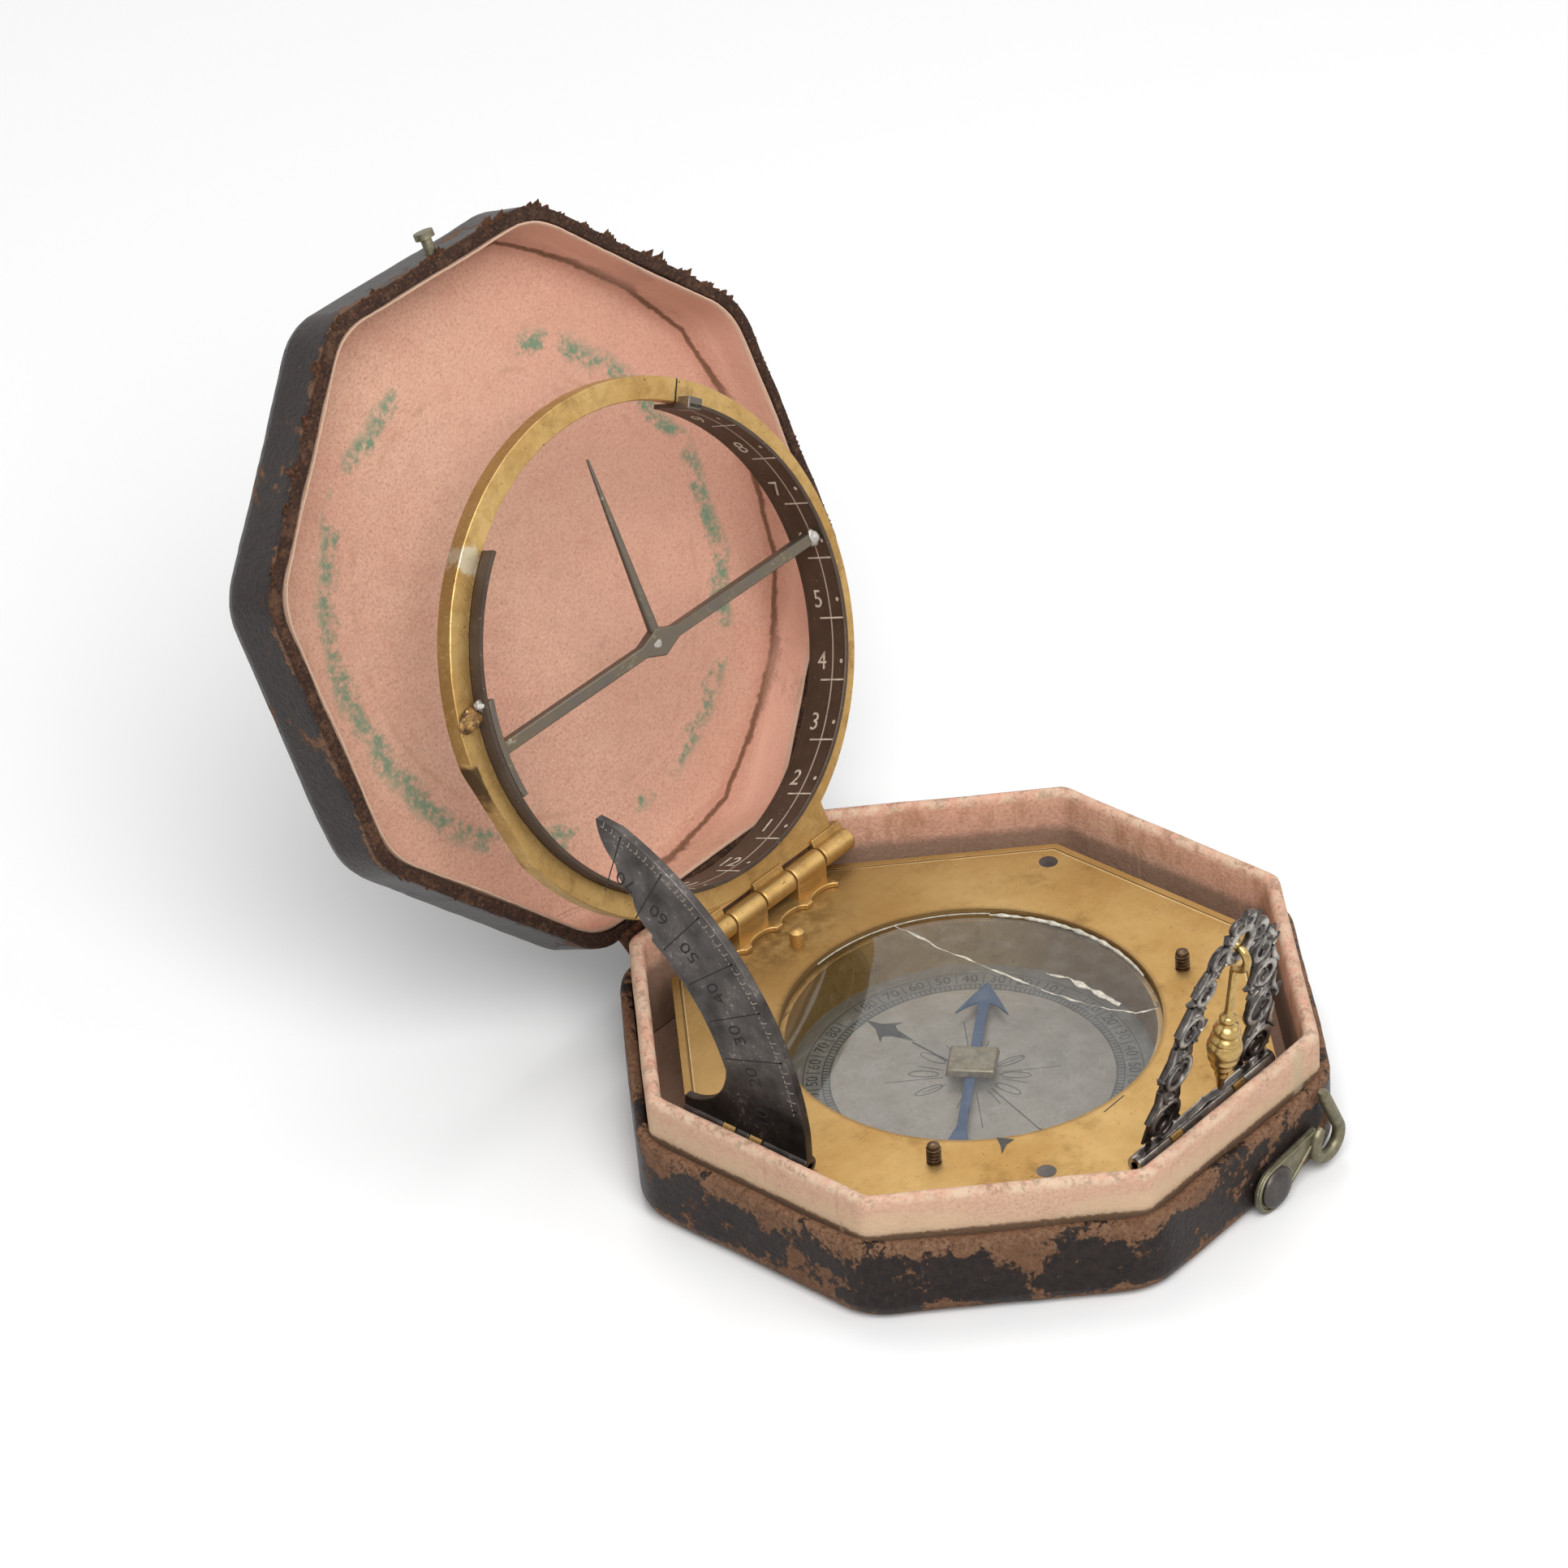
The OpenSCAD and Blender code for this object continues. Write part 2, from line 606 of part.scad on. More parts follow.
module bob_profile() {
  r = bob_d / 2;
  body = bob_len - 5.1;
  polygon([[0, 0], [0.25, 0], [0.45, 0.6], [0.55, body * 0.28], [0.9, body * 0.33], [0.8, body * 0.37],
    [r * 0.72, body * 0.42], [r * 0.72, body * 0.47], [r * 0.9, body * 0.5], [r, body * 0.56],
    [r, body * 0.6], [r * 0.84, body * 0.64], [r * 0.95, body * 0.68], [r * 0.95, body * 0.73],
    [r * 0.74, body * 0.77], [r * 0.8, body * 0.82], [r * 0.55, body * 0.86], [r * 0.45, body * 0.91],
    [r * 0.6, body * 0.95], [0.4, body], [0.4, bob_len - 0.15], [0, bob_len - 0.15]]);
}

// Wire hook that goes through the apex ring's hole and over its lower rim
module bob_hook() color("gold") bob_place() hook_wire();

module hook_wire() rotate([90, 0, 90])
  rotate(-270) rotate_extrude(angle = 240) translate([hook_r, 0]) circle(d = hook_wire_d);

module catch_rivet() color("dimgray") catch_place() {
  rod_y(rivet_shank_r, -catch_face_gap - catch_plate_t - 0.1, leather_t);
  rod_y(catch_head_r, -catch_face_gap - catch_plate_t - 0.75, -catch_face_gap - catch_plate_t - 0.1);
}

// Catch: a tapering plate on the rivet whose end is drawn out into a bent wire
module catch_hook() color("darkkhaki") catch_place() {
  bend = [7.1, 0.7];
  bend_r = 1.7;
  wire_y = -catch_face_gap - catch_wire_d / 2;
  translate([0, -catch_face_gap, 0]) rotate([90, 0, 0]) linear_extrude(catch_plate_t) difference() {
    rotate(20) union() {
      circle(2.2);
      polygon([[0, 2.2], [6.5, 0.6], [6.5, -0.6], [0, -2.2]]);
      translate([-1.3, 0]) circle(1.7);
    }
    circle(rivet_shank_r + fit);
  }
  translate([bend[0], wire_y, bend[1]]) rotate([90, 0, 0]) {
    rotate(135) rotate_extrude(angle = 256) translate([bend_r, 0]) circle(d = catch_wire_d);
    rotate(31) translate([bend_r, 0, 0]) rod_y(catch_wire_d / 2, 0, 4.9);
    rotate(31) translate([bend_r, 4.9, 0]) sphere(d = catch_wire_d);
  }
}

base_shell();
base_collar();
base_floor_lining();
leather_hinge();
catch_rivet();
catch_hook();
lid_shell();
lid_wall_lining();
lid_floor_lining();
lid_stud();
base_plate();
compass_box();
compass_dial();
compass_glass();
needle_pivot();
compass_needle();
needle_cap();
compass_screws();
domed_stud();
flush_rivets();
ring_hinge_leaf();
ring_hinge_pin();
hour_ring();
chapter_band();
gnomon_strip();
strip_block();
gnomon_bar();
gnomon_pin();
arc_hinge_leaf();
arc_hinge_pin();
latitude_arc();
bracket_hinge_leaf();
bracket_hinge_pin();
plumb_bracket();
plumb_bob();
bob_hook();
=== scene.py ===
import bpy
import bmesh
import json
from math import pi, sin, cos, tan, atan2, radians, degrees, sqrt, hypot
from mathutils import Vector, Matrix, noise


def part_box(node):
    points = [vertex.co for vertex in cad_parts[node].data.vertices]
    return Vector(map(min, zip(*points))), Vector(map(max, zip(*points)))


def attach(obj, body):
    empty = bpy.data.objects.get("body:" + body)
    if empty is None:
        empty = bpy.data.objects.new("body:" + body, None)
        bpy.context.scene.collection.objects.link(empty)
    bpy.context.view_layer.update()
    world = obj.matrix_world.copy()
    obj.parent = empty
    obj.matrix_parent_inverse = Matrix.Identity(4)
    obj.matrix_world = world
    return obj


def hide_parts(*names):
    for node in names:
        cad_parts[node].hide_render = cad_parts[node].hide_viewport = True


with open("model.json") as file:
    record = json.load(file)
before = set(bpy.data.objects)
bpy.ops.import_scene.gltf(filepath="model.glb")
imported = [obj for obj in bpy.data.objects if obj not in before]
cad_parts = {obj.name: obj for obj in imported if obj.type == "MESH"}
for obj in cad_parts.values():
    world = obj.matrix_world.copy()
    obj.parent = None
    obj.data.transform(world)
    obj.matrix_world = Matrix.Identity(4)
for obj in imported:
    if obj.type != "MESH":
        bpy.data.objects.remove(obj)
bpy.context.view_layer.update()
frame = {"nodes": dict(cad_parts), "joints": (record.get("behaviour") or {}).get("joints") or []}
cadNodes = frame["nodes"]
joints = {joint["name"]: joint for joint in frame["joints"]}
scene = bpy.context.scene
mm = 0.001


def jointFrame(name):
    return Matrix.Translation(Vector(joints[name]["pos_m"]))


def shifted(x, y, z):
    return Matrix.Translation(Vector((x, y, z)) * mm)


def turned(angle, axis):
    return Matrix.Rotation(radians(angle), 4, axis)


# The sizes of the solids that the pieces below are fitted to, in mm and degrees
case = {"half": 29.5, "floor": 1.1, "top": 8.0, "collarHalf": 27.1, "collarWall": 1.3, "collarTop": 12.0}
lid = {"half": 30.4, "depth": 7.5, "skin": 0.8, "open": 114.3}
ring = {"outer": 23.5, "inner": 21.4, "front": 0.35, "thick": 1.75, "reach": 24.85, "open": 112.0,
        "bandInner": 21.0, "bandFront": -1.05, "bandWidth": 4.7, "bandFrom": -55.6, "bandSweep": 285.0}
gnomon = {"w": 0.6, "z": 0.1, "bar": 1.1, "ends": (-20.25, 20.5), "pin": 17.4}
bracket = {"lean": 12.5, "tilt": 4.5, "half": 9.25, "apex": 19.6, "thick": 0.8}
dial = {"top": 2.3, "disc": 12.4, "figures": 13.85, "rings": ((12.4, 0.12), (13.05, 0.07), (14.7, 0.07))}

lidFrame = jointFrame("lid_hinge") @ turned(-lid["open"], "X")
ringFrame = jointFrame("ring_hinge") @ turned(-ring["open"], "X")
arcFrame = shifted(-24.1, 0, 8.8)
bracketFrame = jointFrame("bracket_hinge") @ turned(bracket["lean"], "X")
bobFrame = jointFrame("bob_swing") @ turned(bracket["lean"] - bracket["tilt"], "X")
worldFrame = Matrix.Identity(4)


# Camera: the photograph's viewpoint, worked out from the plate's window and edges
cameraView = {"azimuth": -47.416, "elevation": 34.535, "roll": 4.105,
              "place": (-333.61, -286.97, 336.66), "lens": 147.24, "sensor": 36.0}


def makeCamera():
    az, el, roll = (radians(cameraView[k]) for k in ("azimuth", "elevation", "roll"))
    back = Vector((sin(az) * cos(el), -cos(az) * cos(el), sin(el)))
    right = (-back).cross(Vector((0, 0, 1))).normalized()
    down = (-back).cross(right)
    turnedRight = cos(roll) * right + sin(roll) * down
    turnedDown = cos(roll) * down - sin(roll) * right
    data = bpy.data.cameras.new("photoCamera")
    data.sensor_fit, data.sensor_width = "HORIZONTAL", cameraView["sensor"]
    data.lens, data.clip_start, data.clip_end = cameraView["lens"], 0.01, 10
    camera = bpy.data.objects.new("photoCamera", data)
    scene.collection.objects.link(camera)
    place = [value * mm for value in cameraView["place"]]
    camera.matrix_world = Matrix((*zip(turnedRight, -turnedDown, back, place), (0, 0, 0, 1)))
    scene.camera = camera


makeCamera()


# A shader value: sums, products and the like on it add Math nodes
class Shade:
    def __init__(self, paint, socket):
        self.paint, self.socket = paint, socket

    def math(self, operation, *others):
        return self.paint.math(operation, self, *others)

    def __add__(self, other):
        return self.math("ADD", other)

    def __radd__(self, other):
        return self.math("ADD", other)

    def __sub__(self, other):
        return self.math("SUBTRACT", other)

    def __rsub__(self, other):
        return self.paint.math("SUBTRACT", other, self)

    def __mul__(self, other):
        return self.math("MULTIPLY", other)

    def __rmul__(self, other):
        return self.math("MULTIPLY", other)

    def __neg__(self):
        return self.math("MULTIPLY", -1.0)

    def __abs__(self):
        return self.math("ABSOLUTE")

    def most(self, other):
        return self.math("MAXIMUM", other)


# One material, with the few nodes that the finishes below are made of
class Paint:
    def __init__(self, name, base=worldFrame, roughness=0.6, metallic=0.0, **shader):
        self.material = bpy.data.materials.new(name)
        self.material.use_nodes = True
        self.tree = self.material.node_tree
        self.tree.nodes.clear()
        self.surface = self.tree.nodes.new("ShaderNodeBsdfPrincipled")
        self.output = self.tree.nodes.new("ShaderNodeOutputMaterial")
        self.tree.links.new(self.surface.outputs[0], self.output.inputs[0])
        self.colour = None
        self.surface.inputs["Roughness"].default_value = roughness
        self.surface.inputs["Metallic"].default_value = metallic
        for socket, value in shader.items():
            self.surface.inputs[socket.replace("_", " ")].default_value = value
        where = self.node("ShaderNodeTexCoord", output="Object")
        self.place = self.node("ShaderNodeMapping", {"vector_type": "TEXTURE"}, {
            "Vector": where, "Location": tuple(base.translation), "Rotation": tuple(base.to_euler()),
            "Scale": (mm, mm, mm)})
        parts = self.node("ShaderNodeSeparateXYZ", None, {0: self.place})
        self.x, self.y, self.z = (Shade(self, parts.socket.node.outputs[i]) for i in range(3))

    def node(self, kind, settings=None, inputs=None, output=0):
        made = self.tree.nodes.new(kind)
        for key, value in (settings or {}).items():
            if key == "stops":
                self.setStops(made.color_ramp, value)
            else:
                setattr(made, key, value)
        for key, value in (inputs or {}).items():
            self.feed(made.inputs[key], value)
        return Shade(self, made.outputs[output])

    def feed(self, socket, value):
        if isinstance(value, Shade):
            self.tree.links.new(value.socket, socket)
        elif isinstance(value, (tuple, list)) and len(value) == 3 and socket.type == "RGBA":
            socket.default_value = (*value, 1)
        else:
            socket.default_value = value

    def setStops(self, ramp, stops):
        for element, (at, level) in zip(ramp.elements, stops):
            element.position = at
            element.color = (level, level, level, 1)

    def math(self, operation, *values):
        return self.node("ShaderNodeMath", {"operation": operation}, dict(enumerate(values)))

    def reach(self, x, y):
        return self.math("SQRT", x * x + y * y)

    def step(self, value, low, high):
        return self.node("ShaderNodeMapRange", {"interpolation_type": "SMOOTHSTEP", "clamp": True},
                         {0: value, 1: low, 2: high})

    def fade(self, value, low, high):
        return 1.0 - self.step(value, low, high)

    def line(self, distance, width, soft=0.04):
        return self.fade(abs(distance), width / 2, width / 2 + soft)

    def blend(self, amount, first, second):
        return self.node("ShaderNodeMix", {"data_type": "RGBA"}, {0: amount, 6: first, 7: second}, output=2)

    def between(self, value, low, high, first, second):
        ramp = self.node("ShaderNodeValToRGB", {"stops": ((low, 0.0), (high, 1.0))}, {0: value})
        return self.blend(ramp, first, second)

    def over(self, amount, colour):
        # One more layer on the colour so far
        self.colour = self.blend(amount, self.colour, colour)

    def clouds(self, scale, detail, roughness, stretch=None):
        vector = self.place
        if stretch:
            vector = self.node("ShaderNodeMapping", {"vector_type": "POINT"},
                               {"Vector": vector, "Scale": stretch})
        return self.node("ShaderNodeTexNoise", None, {
            "Vector": vector, "Scale": scale, "Detail": detail, "Roughness": roughness})

    def spots(self, low, high, *cloud, stretch=None):
        return self.step(self.clouds(*cloud, stretch=stretch), low, high)

    def cells(self, scale):
        return self.node("ShaderNodeTexVoronoi", None, {"Vector": self.place, "Scale": scale})

    def bump(self, height, distance, strength):
        return self.node("ShaderNodeBump", None, {
            "Height": height, "Distance": distance * mm, "Strength": strength})

    def finish(self, **sockets):
        sockets["Base Color"] = self.colour
        for socket, value in sockets.items():
            self.feed(self.surface.inputs[socket.replace("_", " ")], value)
        return self.material


def octagonDistance(x, y):
    return abs(x).most(abs(y)).most((abs(x) + abs(y)) * 0.70711)


# Dark brown leather: fine grain, creases, and rubbed patches where the edges catch
leatherLook = {"dark": (0.010, 0.0075, 0.007), "mid": (0.024, 0.015, 0.012), "rubbed": (0.112, 0.054, 0.029),
               "bare": (0.225, 0.128, 0.076), "grey": (0.075, 0.07, 0.072), "torn": (0.085, 0.034, 0.016)}


def leatherPaint(name, base, lowEdge, highEdge, wear, gloss, rimAt=None):
    p = Paint(name, base, roughness=0.5, Specular_IOR_Level=gloss)
    patches = p.clouds(0.17, 9, 0.68)
    fine = p.clouds(1.5, 6, 0.7)
    broad = p.clouds(0.07, 3, 0.5)
    p.colour = p.between(fine, 0.35, 0.65, leatherLook["dark"], leatherLook["mid"])
    low = p.fade(abs(p.z - lowEdge), 0.4, 2.4)
    high = p.fade(abs(p.z - highEdge), 0.6, 2.9)
    shift = 0.0 if rimAt is None else lid["half"]
    flat = p.fade(octagonDistance(p.x, p.y + shift), 24.5, 29.3)
    edges = (low * 0.11 + high * 0.13) * (0.5 + broad) * (1.0 - flat)
    amount = patches + edges + (fine - 0.5) * 0.24 + wear - flat * 0.035
    rubbed = p.step(amount, 0.555, 0.60)
    flesh = p.clouds(2.6, 6, 0.78)
    tone = p.between(flesh, 0.40, 0.66, leatherLook["rubbed"], leatherLook["bare"])
    tone = p.blend(p.step(flesh, 0.46, 0.34) * 0.8, tone, leatherLook["mid"])
    tone = p.blend(p.step(patches, 0.45, 0.75), tone, leatherLook["rubbed"])
    p.over(rubbed, tone)
    scuffs = p.spots(0.63, 0.70, 2.4, 4, 0.7, stretch=(1, 1, 0.3)) * (1.0 - rubbed)
    p.over(scuffs * 0.4, leatherLook["grey"])
    pale = p.step(p.clouds(0.9, 5, 0.7) + high * 0.04, 0.70, 0.73)
    p.over(pale * 0.5, leatherLook["bare"])
    rough = rubbed * 0.45 + 0.36
    grain = p.cells(2.4) * 0.4 + p.clouds(5, 4, 0.7) * 0.5 - rubbed * 0.7 + fine * 0.5
    if rimAt is not None:
        # Torn brown fibres on the rim's face
        rim = p.fade(p.z + (fine - 0.5) * 0.9, rimAt, rimAt + 0.25)
        fibres = p.clouds(3.2, 5, 0.75)
        torn = p.between(fibres, 0.35, 0.7, leatherLook["dark"], leatherLook["torn"])
        torn = p.blend(p.spots(0.5, 0.62, 0.45, 7, 0.75) * 0.75, torn, leatherLook["rubbed"])
        torn = p.blend(p.step(fibres, 0.58, 0.68) * 0.7, torn, leatherLook["bare"])
        p.over(rim, torn)
        rough = rough.most(rim * 0.9)
        grain = grain + rim * fibres * 2.0
    return p.finish(Roughness=rough, Normal=p.bump(grain, 0.13, 0.9))


def tornPaint():
    p = Paint("tornLeather", lidFrame, roughness=0.92, Specular_IOR_Level=0.1)
    fibres = p.clouds(2.2, 5, 0.75)
    p.colour = p.between(fibres, 0.35, 0.7, leatherLook["mid"], (0.16, 0.07, 0.035))
    return p.finish(Normal=p.bump(fibres, 0.2, 0.9))


# Pink paper lining, stained, rubbed pale on its edges and pricked with dark spots
paperLook = {"pink": (0.60, 0.325, 0.235), "pale": (0.615, 0.385, 0.275), "deep": (0.50, 0.245, 0.175),
             "brown": (0.13, 0.06, 0.03), "grimeAndShade": (0.20, 0.125, 0.08), "green": (0.135, 0.23, 0.145),
             "fleck": (0.36, 0.175, 0.115)}


def paperBase(p):
    broad = p.clouds(0.08, 4, 0.55)
    fine = p.clouds(1.3, 7, 0.7)
    p.colour = p.between(broad, 0.35, 0.7, paperLook["pink"], paperLook["pale"])
    p.over(p.spots(0.5, 0.75, 0.3, 6, 0.65) * 0.5, paperLook["deep"])
    p.over(p.spots(0.645, 0.70, 2.0, 4, 0.65) * 0.5, paperLook["grimeAndShade"])
    specks = p.spots(0.70, 0.74, 4.5, 2, 0.5)
    p.over(specks * 0.7, (0.20, 0.10, 0.06))
    fibres = p.clouds(6.0, 4, 0.7, stretch=(1, 0.3, 1))
    p.over(p.step(fibres, 0.52, 0.7) * 0.3, (0.70, 0.45, 0.35))
    grain = p.clouds(3.4, 6, 0.78)
    mottled = p.clouds(0.55, 8, 0.75)
    p.over(p.step(mottled, 0.50, 0.36) * 0.30, (0.44, 0.27, 0.19))
    p.over(p.step(mottled, 0.54, 0.70) * 0.30, (0.68, 0.43, 0.34))
    p.over(p.step(grain, 0.53, 0.36) * 0.60, paperLook["fleck"])
    p.over(p.step(grain, 0.54, 0.68) * 0.35, (0.74, 0.50, 0.40))
    return broad, fine, fibres + grain * 1.6


def collarPaint():
    p = Paint("pinkCollarPaper", worldFrame, roughness=0.88, Specular_IOR_Level=0.2)
    broad, fine, fibres = paperBase(p)
    waver = fine - 0.5
    wide = octagonDistance(p.x, p.y)
    outside = p.step(wide, 27.9, 28.3)
    cream = p.step(p.z + (broad - 0.5) * 9 + waver * 3, 11.4, 8.6)
    p.over(outside * (0.25 + cream * 0.6), (0.62, 0.45, 0.29))
    p.over(outside * 0.15, (0.22, 0.14, 0.10))
    inside = p.fade(wide, 27.2, 27.5)
    smears = p.spots(0.48, 0.66, 0.45, 6, 0.7, stretch=(1, 1, 0.35))
    p.over(inside * smears * 0.55, (0.33, 0.16, 0.085))
    rim = p.step(p.z + waver * 1.2, 11.2, 11.7)
    p.over(rim * p.spots(0.4, 0.6, 0.5, 5, 0.7) * 0.6, (0.62, 0.50, 0.36))
    chipped = rim * p.spots(0.52, 0.66, 0.8, 6, 0.72)
    p.over(chipped * 0.55, (0.34, 0.22, 0.13))
    # Grime and painted shade along the foot of the wall, stronger on the inside where the wall meets the
    # plate
    foot = p.step(9.0 - p.z + waver * 1.6, 0.0, 1.2)
    p.over(foot * (0.35 + inside * 0.35), paperLook["grimeAndShade"])
    # Painted shade: a dark brown line low on the outside, in the gap between the wall and the leather tray
    gap = outside * p.step(p.z + waver * 0.9, 8.55, 8.2)
    p.over(gap * 0.85, (0.085, 0.042, 0.022))
    drips = p.spots(0.58, 0.68, 0.6, 5, 0.65, stretch=(1, 1, 0.15))
    p.over(drips * 0.4, (0.42, 0.27, 0.16))
    # Pale smear that runs down the wall by the catch
    smear = p.fade(abs(p.x - 8.6 + waver * 1.4), 0.3, 1.0) * p.step(-p.y, 20.0, 24.0)
    p.over(smear * outside * 0.7, (0.46, 0.37, 0.24))
    scratches = p.spots(0.63, 0.69, 2.2, 3, 0.6, stretch=(0.3, 0.3, 3.0))
    p.over(scratches * 0.35 * (1.0 - rim), (0.30, 0.17, 0.10))
    height = fine * 0.8 + fibres * 0.4 - drips * 0.3 - chipped * 0.6
    return p.finish(Normal=p.bump(height, 0.16, 0.85))


def lidPaperPaint():
    p = Paint("pinkLidPaper", lidFrame, roughness=0.9, Specular_IOR_Level=0.15)
    broad, fine, fibres = paperBase(p)
    waver = fine - 0.5
    y = p.y + lid["half"]
    radius = p.reach(p.x, y)
    wide = octagonDistance(p.x, y) * 0.5 + radius * 0.5
    onFloor = p.step(p.z, 5.0, 5.6)
    p.over(p.step(broad + p.x * 0.012, 0.42, 0.75) * 0.35, (0.57, 0.27, 0.20))
    soot = p.spots(0.55, 0.8, 0.13, 7, 0.7) * p.spots(0.4, 0.62, 0.9, 5, 0.7)
    p.over(soot * 0.5, (0.33, 0.20, 0.14))
    # Painted shade in the crease where the wall meets the floor: a soft band, darkest on the brown fold line
    crease = 28.55 - (p.clouds(0.16, 3, 0.5) - 0.5) * 0.45 - waver * 0.4
    fold = p.fade(abs(wide - crease), 0.06, 0.24)
    creaseShade = p.fade(abs(wide - crease), 0.1, 1.5)
    near = p.step(p.x, -8.0, 4.0) * p.step(p.z, 3.2, 4.6)
    p.over(creaseShade * near * 0.45, (0.36, 0.15, 0.10))
    p.over(fold * near * 0.9, paperLook["brown"])
    # Verdigris and faint brown rings left by the folded ring
    fromRing = p.reach(p.x, y - 1.2) - 22.6
    patchy = p.clouds(0.17, 5, 0.6)
    wavy = waver * 1.8 + (patchy - 0.5) * 5
    stain = p.fade(abs(fromRing + wavy), 0.3, 1.5) * p.step(patchy + abs(p.x) * 0.011, 0.61, 0.69)
    p.over(stain * onFloor * p.step(fine, 0.33, 0.60) * 0.95, paperLook["green"])
    flecks = p.spots(0.66, 0.71, 1.5, 4, 0.6) * p.fade(abs(fromRing), 0.5, 4.0)
    p.over(flecks * onFloor * 0.45, paperLook["green"])
    brownRing = p.fade(abs(fromRing + 3.0 + waver * 0.8), 0.05, 0.5) * p.step(patchy, 0.47, 0.6)
    p.over(brownRing * onFloor * 0.35, (0.36, 0.20, 0.11))
    onWall = p.fade(p.z, 3.8, 5.4)
    p.over(onWall * p.step(broad + waver * 0.5, 0.38, 0.6) * 0.2, (0.46, 0.27, 0.16))
    # Painted light: the wall is painted paler pink towards +x
    p.over(onWall * p.step(p.x, 4.0, 16.0) * 0.6, (0.76, 0.45, 0.35))
    # Painted shade: the whole lining darkens towards -x
    p.over(p.step(-p.x, 2.0, 24.0) * 0.17, (0.16, 0.08, 0.05))
    rim = p.fade(p.z + waver * 0.6, 0.25, 0.6)
    p.over(rim * 0.5, (0.46, 0.35, 0.25))
    height = fine * 0.8 + fibres * 0.4 + stain * 0.3 - fold * 0.9
    return p.finish(Normal=p.bump(height, 0.16, 0.8))


# Gilt brass: warm satin metal with brown tarnish, small scratches and dark pits
giltLook = {"bright": (0.52, 0.345, 0.135), "warm": (0.41, 0.24, 0.075), "brown": (0.15, 0.082, 0.028),
            "pit": (0.04, 0.027, 0.016)}


def giltBase(p, tarnish, pits, stretch):
    broad = p.clouds(0.10, 5, 0.6)
    mid = p.clouds(0.8, 6, 0.65)
    p.colour = p.between(broad, 0.35, 0.65, giltLook["bright"], giltLook["warm"])
    stains = p.spots(0.5, 0.72, 0.28, 8, 0.72)
    p.over(stains * tarnish, giltLook["brown"])
    specks = p.spots(0.645, 0.70, 2.6, 4, 0.65)
    p.over(specks * pits, giltLook["pit"])
    scratches = p.spots(0.56, 0.68, 3.5, 4, 0.7, stretch=stretch)
    p.over(scratches * 0.35, (0.80, 0.60, 0.32))
    brushed = p.clouds(2.5, 3, 0.6, stretch=tuple(value * 1.6 for value in stretch))
    rough = 0.36 + mid * 0.2 + stains * 0.2
    height = mid * 0.3 + scratches * 0.35 + brushed * 0.4 - specks * 0.6
    return rough, height, mid


def giltPaint(name):
    p = Paint(name, metallic=0.9)
    rough, height, _ = giltBase(p, 0.6, 0.6, (0.15, 2.5, 2.5))
    return p.finish(Roughness=rough, Normal=p.bump(height, 0.035, 0.7))


# The hour ring's gilt, with a whitish patch of old solder at the band's end
def ringPaint():
    p = Paint("giltRing", ringFrame, metallic=0.9)
    rough, height, mid = giltBase(p, 0.55, 0.9, (2.5, 0.4, 0.4))
    waver = mid - 0.5
    rise = -(p.y + ring["reach"])
    patch = p.fade(p.reach(p.x + 15.8, 16.2 - rise) + waver * 2.4, 0.9, 1.5)
    p.over(patch * 0.7, (0.62, 0.56, 0.42))
    radius = p.reach(p.x, rise)
    p.over(p.step(mid, 0.45, 0.66) * 0.3, (0.27, 0.155, 0.05))
    # Dark joint beside the band's end, and a dark sliver on the rim
    lean = radians(57)
    joint = p.line(p.x * sin(lean) - rise * cos(lean) + waver * 0.2, 0.16) * p.step(p.x, 0.0, 1.0)
    spot = p.reach(p.x + 23.3, rise + 1.9)
    sliver = p.step(radius + waver * 0.3, 22.85, 23.05) * p.fade(spot, 2.2, 2.7)
    p.over(joint.most(sliver * 0.85), giltLook["pit"])
    return p.finish(Roughness=rough, Normal=p.bump(height, 0.045, 0.8))


# The base plate: engraved border, a dark line at the window and brown by the hinge
plateLook = {"border": 24.3, "lineWidth": 0.12}


def platePaint():
    p = Paint("giltPlate", worldFrame, metallic=0.9)
    rough, height, mid = giltBase(p, 0.32, 0.35, (0.2, 3.0, 1))
    waver = mid - 0.5
    wide = octagonDistance(p.x, p.y)
    border = p.line(wide - plateLook["border"], plateLook["lineWidth"], 0.05)
    shine = p.line(wide - plateLook["border"] + 0.16, 0.06, 0.06)
    p.over(border * 0.85, (0.11, 0.06, 0.02))
    p.over(shine * 0.6, (0.95, 0.80, 0.48))
    radius = p.reach(p.x, p.y)
    byWindow = p.fade(radius, 16.55, 16.95)
    p.over(byWindow * 0.6, (0.20, 0.12, 0.05))
    # Darker brown patches round the hinge
    brownByHinge = p.fade(p.reach(p.x * 0.5, p.y - 21.5), 1.0, 5.5)
    p.over(brownByHinge * p.step(mid, 0.35, 0.65) * 0.8, giltLook["brown"])
    fromEdge = p.step(wide + waver * 2.0, 23.4, 25.0)
    p.over(fromEdge * 0.35, giltLook["warm"])
    shade = p.step(p.y + waver * 8, -12.0, 22.0)
    p.over(shade * 0.32 + 0.1, (0.12, 0.068, 0.022))
    height = height - border * 1.5 + shine * 0.3
    return p.finish(Roughness=rough + 0.06, Normal=p.bump(height, 0.04, 0.7))


# Tarnished silver: near black where it is deep, worn bright on raised places
silverLook = {"black": (0.030, 0.026, 0.024), "grey": (0.115, 0.10, 0.092), "worn": (0.50, 0.47, 0.42),
              "olive": (0.15, 0.118, 0.072)}


def silverPaint(name, base, wornAt, deep="black", tone="grey", metallic=0.85, wornBy=0.5):
    p = Paint(name, base, metallic=metallic)
    broad = p.clouds(0.35, 5, 0.6)
    fine = p.clouds(2.2, 5, 0.65)
    p.colour = p.between(broad, 0.3, 0.7, silverLook[deep], silverLook[tone])
    worn = p.step(fine * 0.6 + broad * 0.4, wornAt, wornAt + 0.12)
    p.over(worn * wornBy, silverLook["worn"])
    return p.finish(Roughness=0.30 + fine * 0.25, Normal=p.bump(fine, 0.03, 0.5))


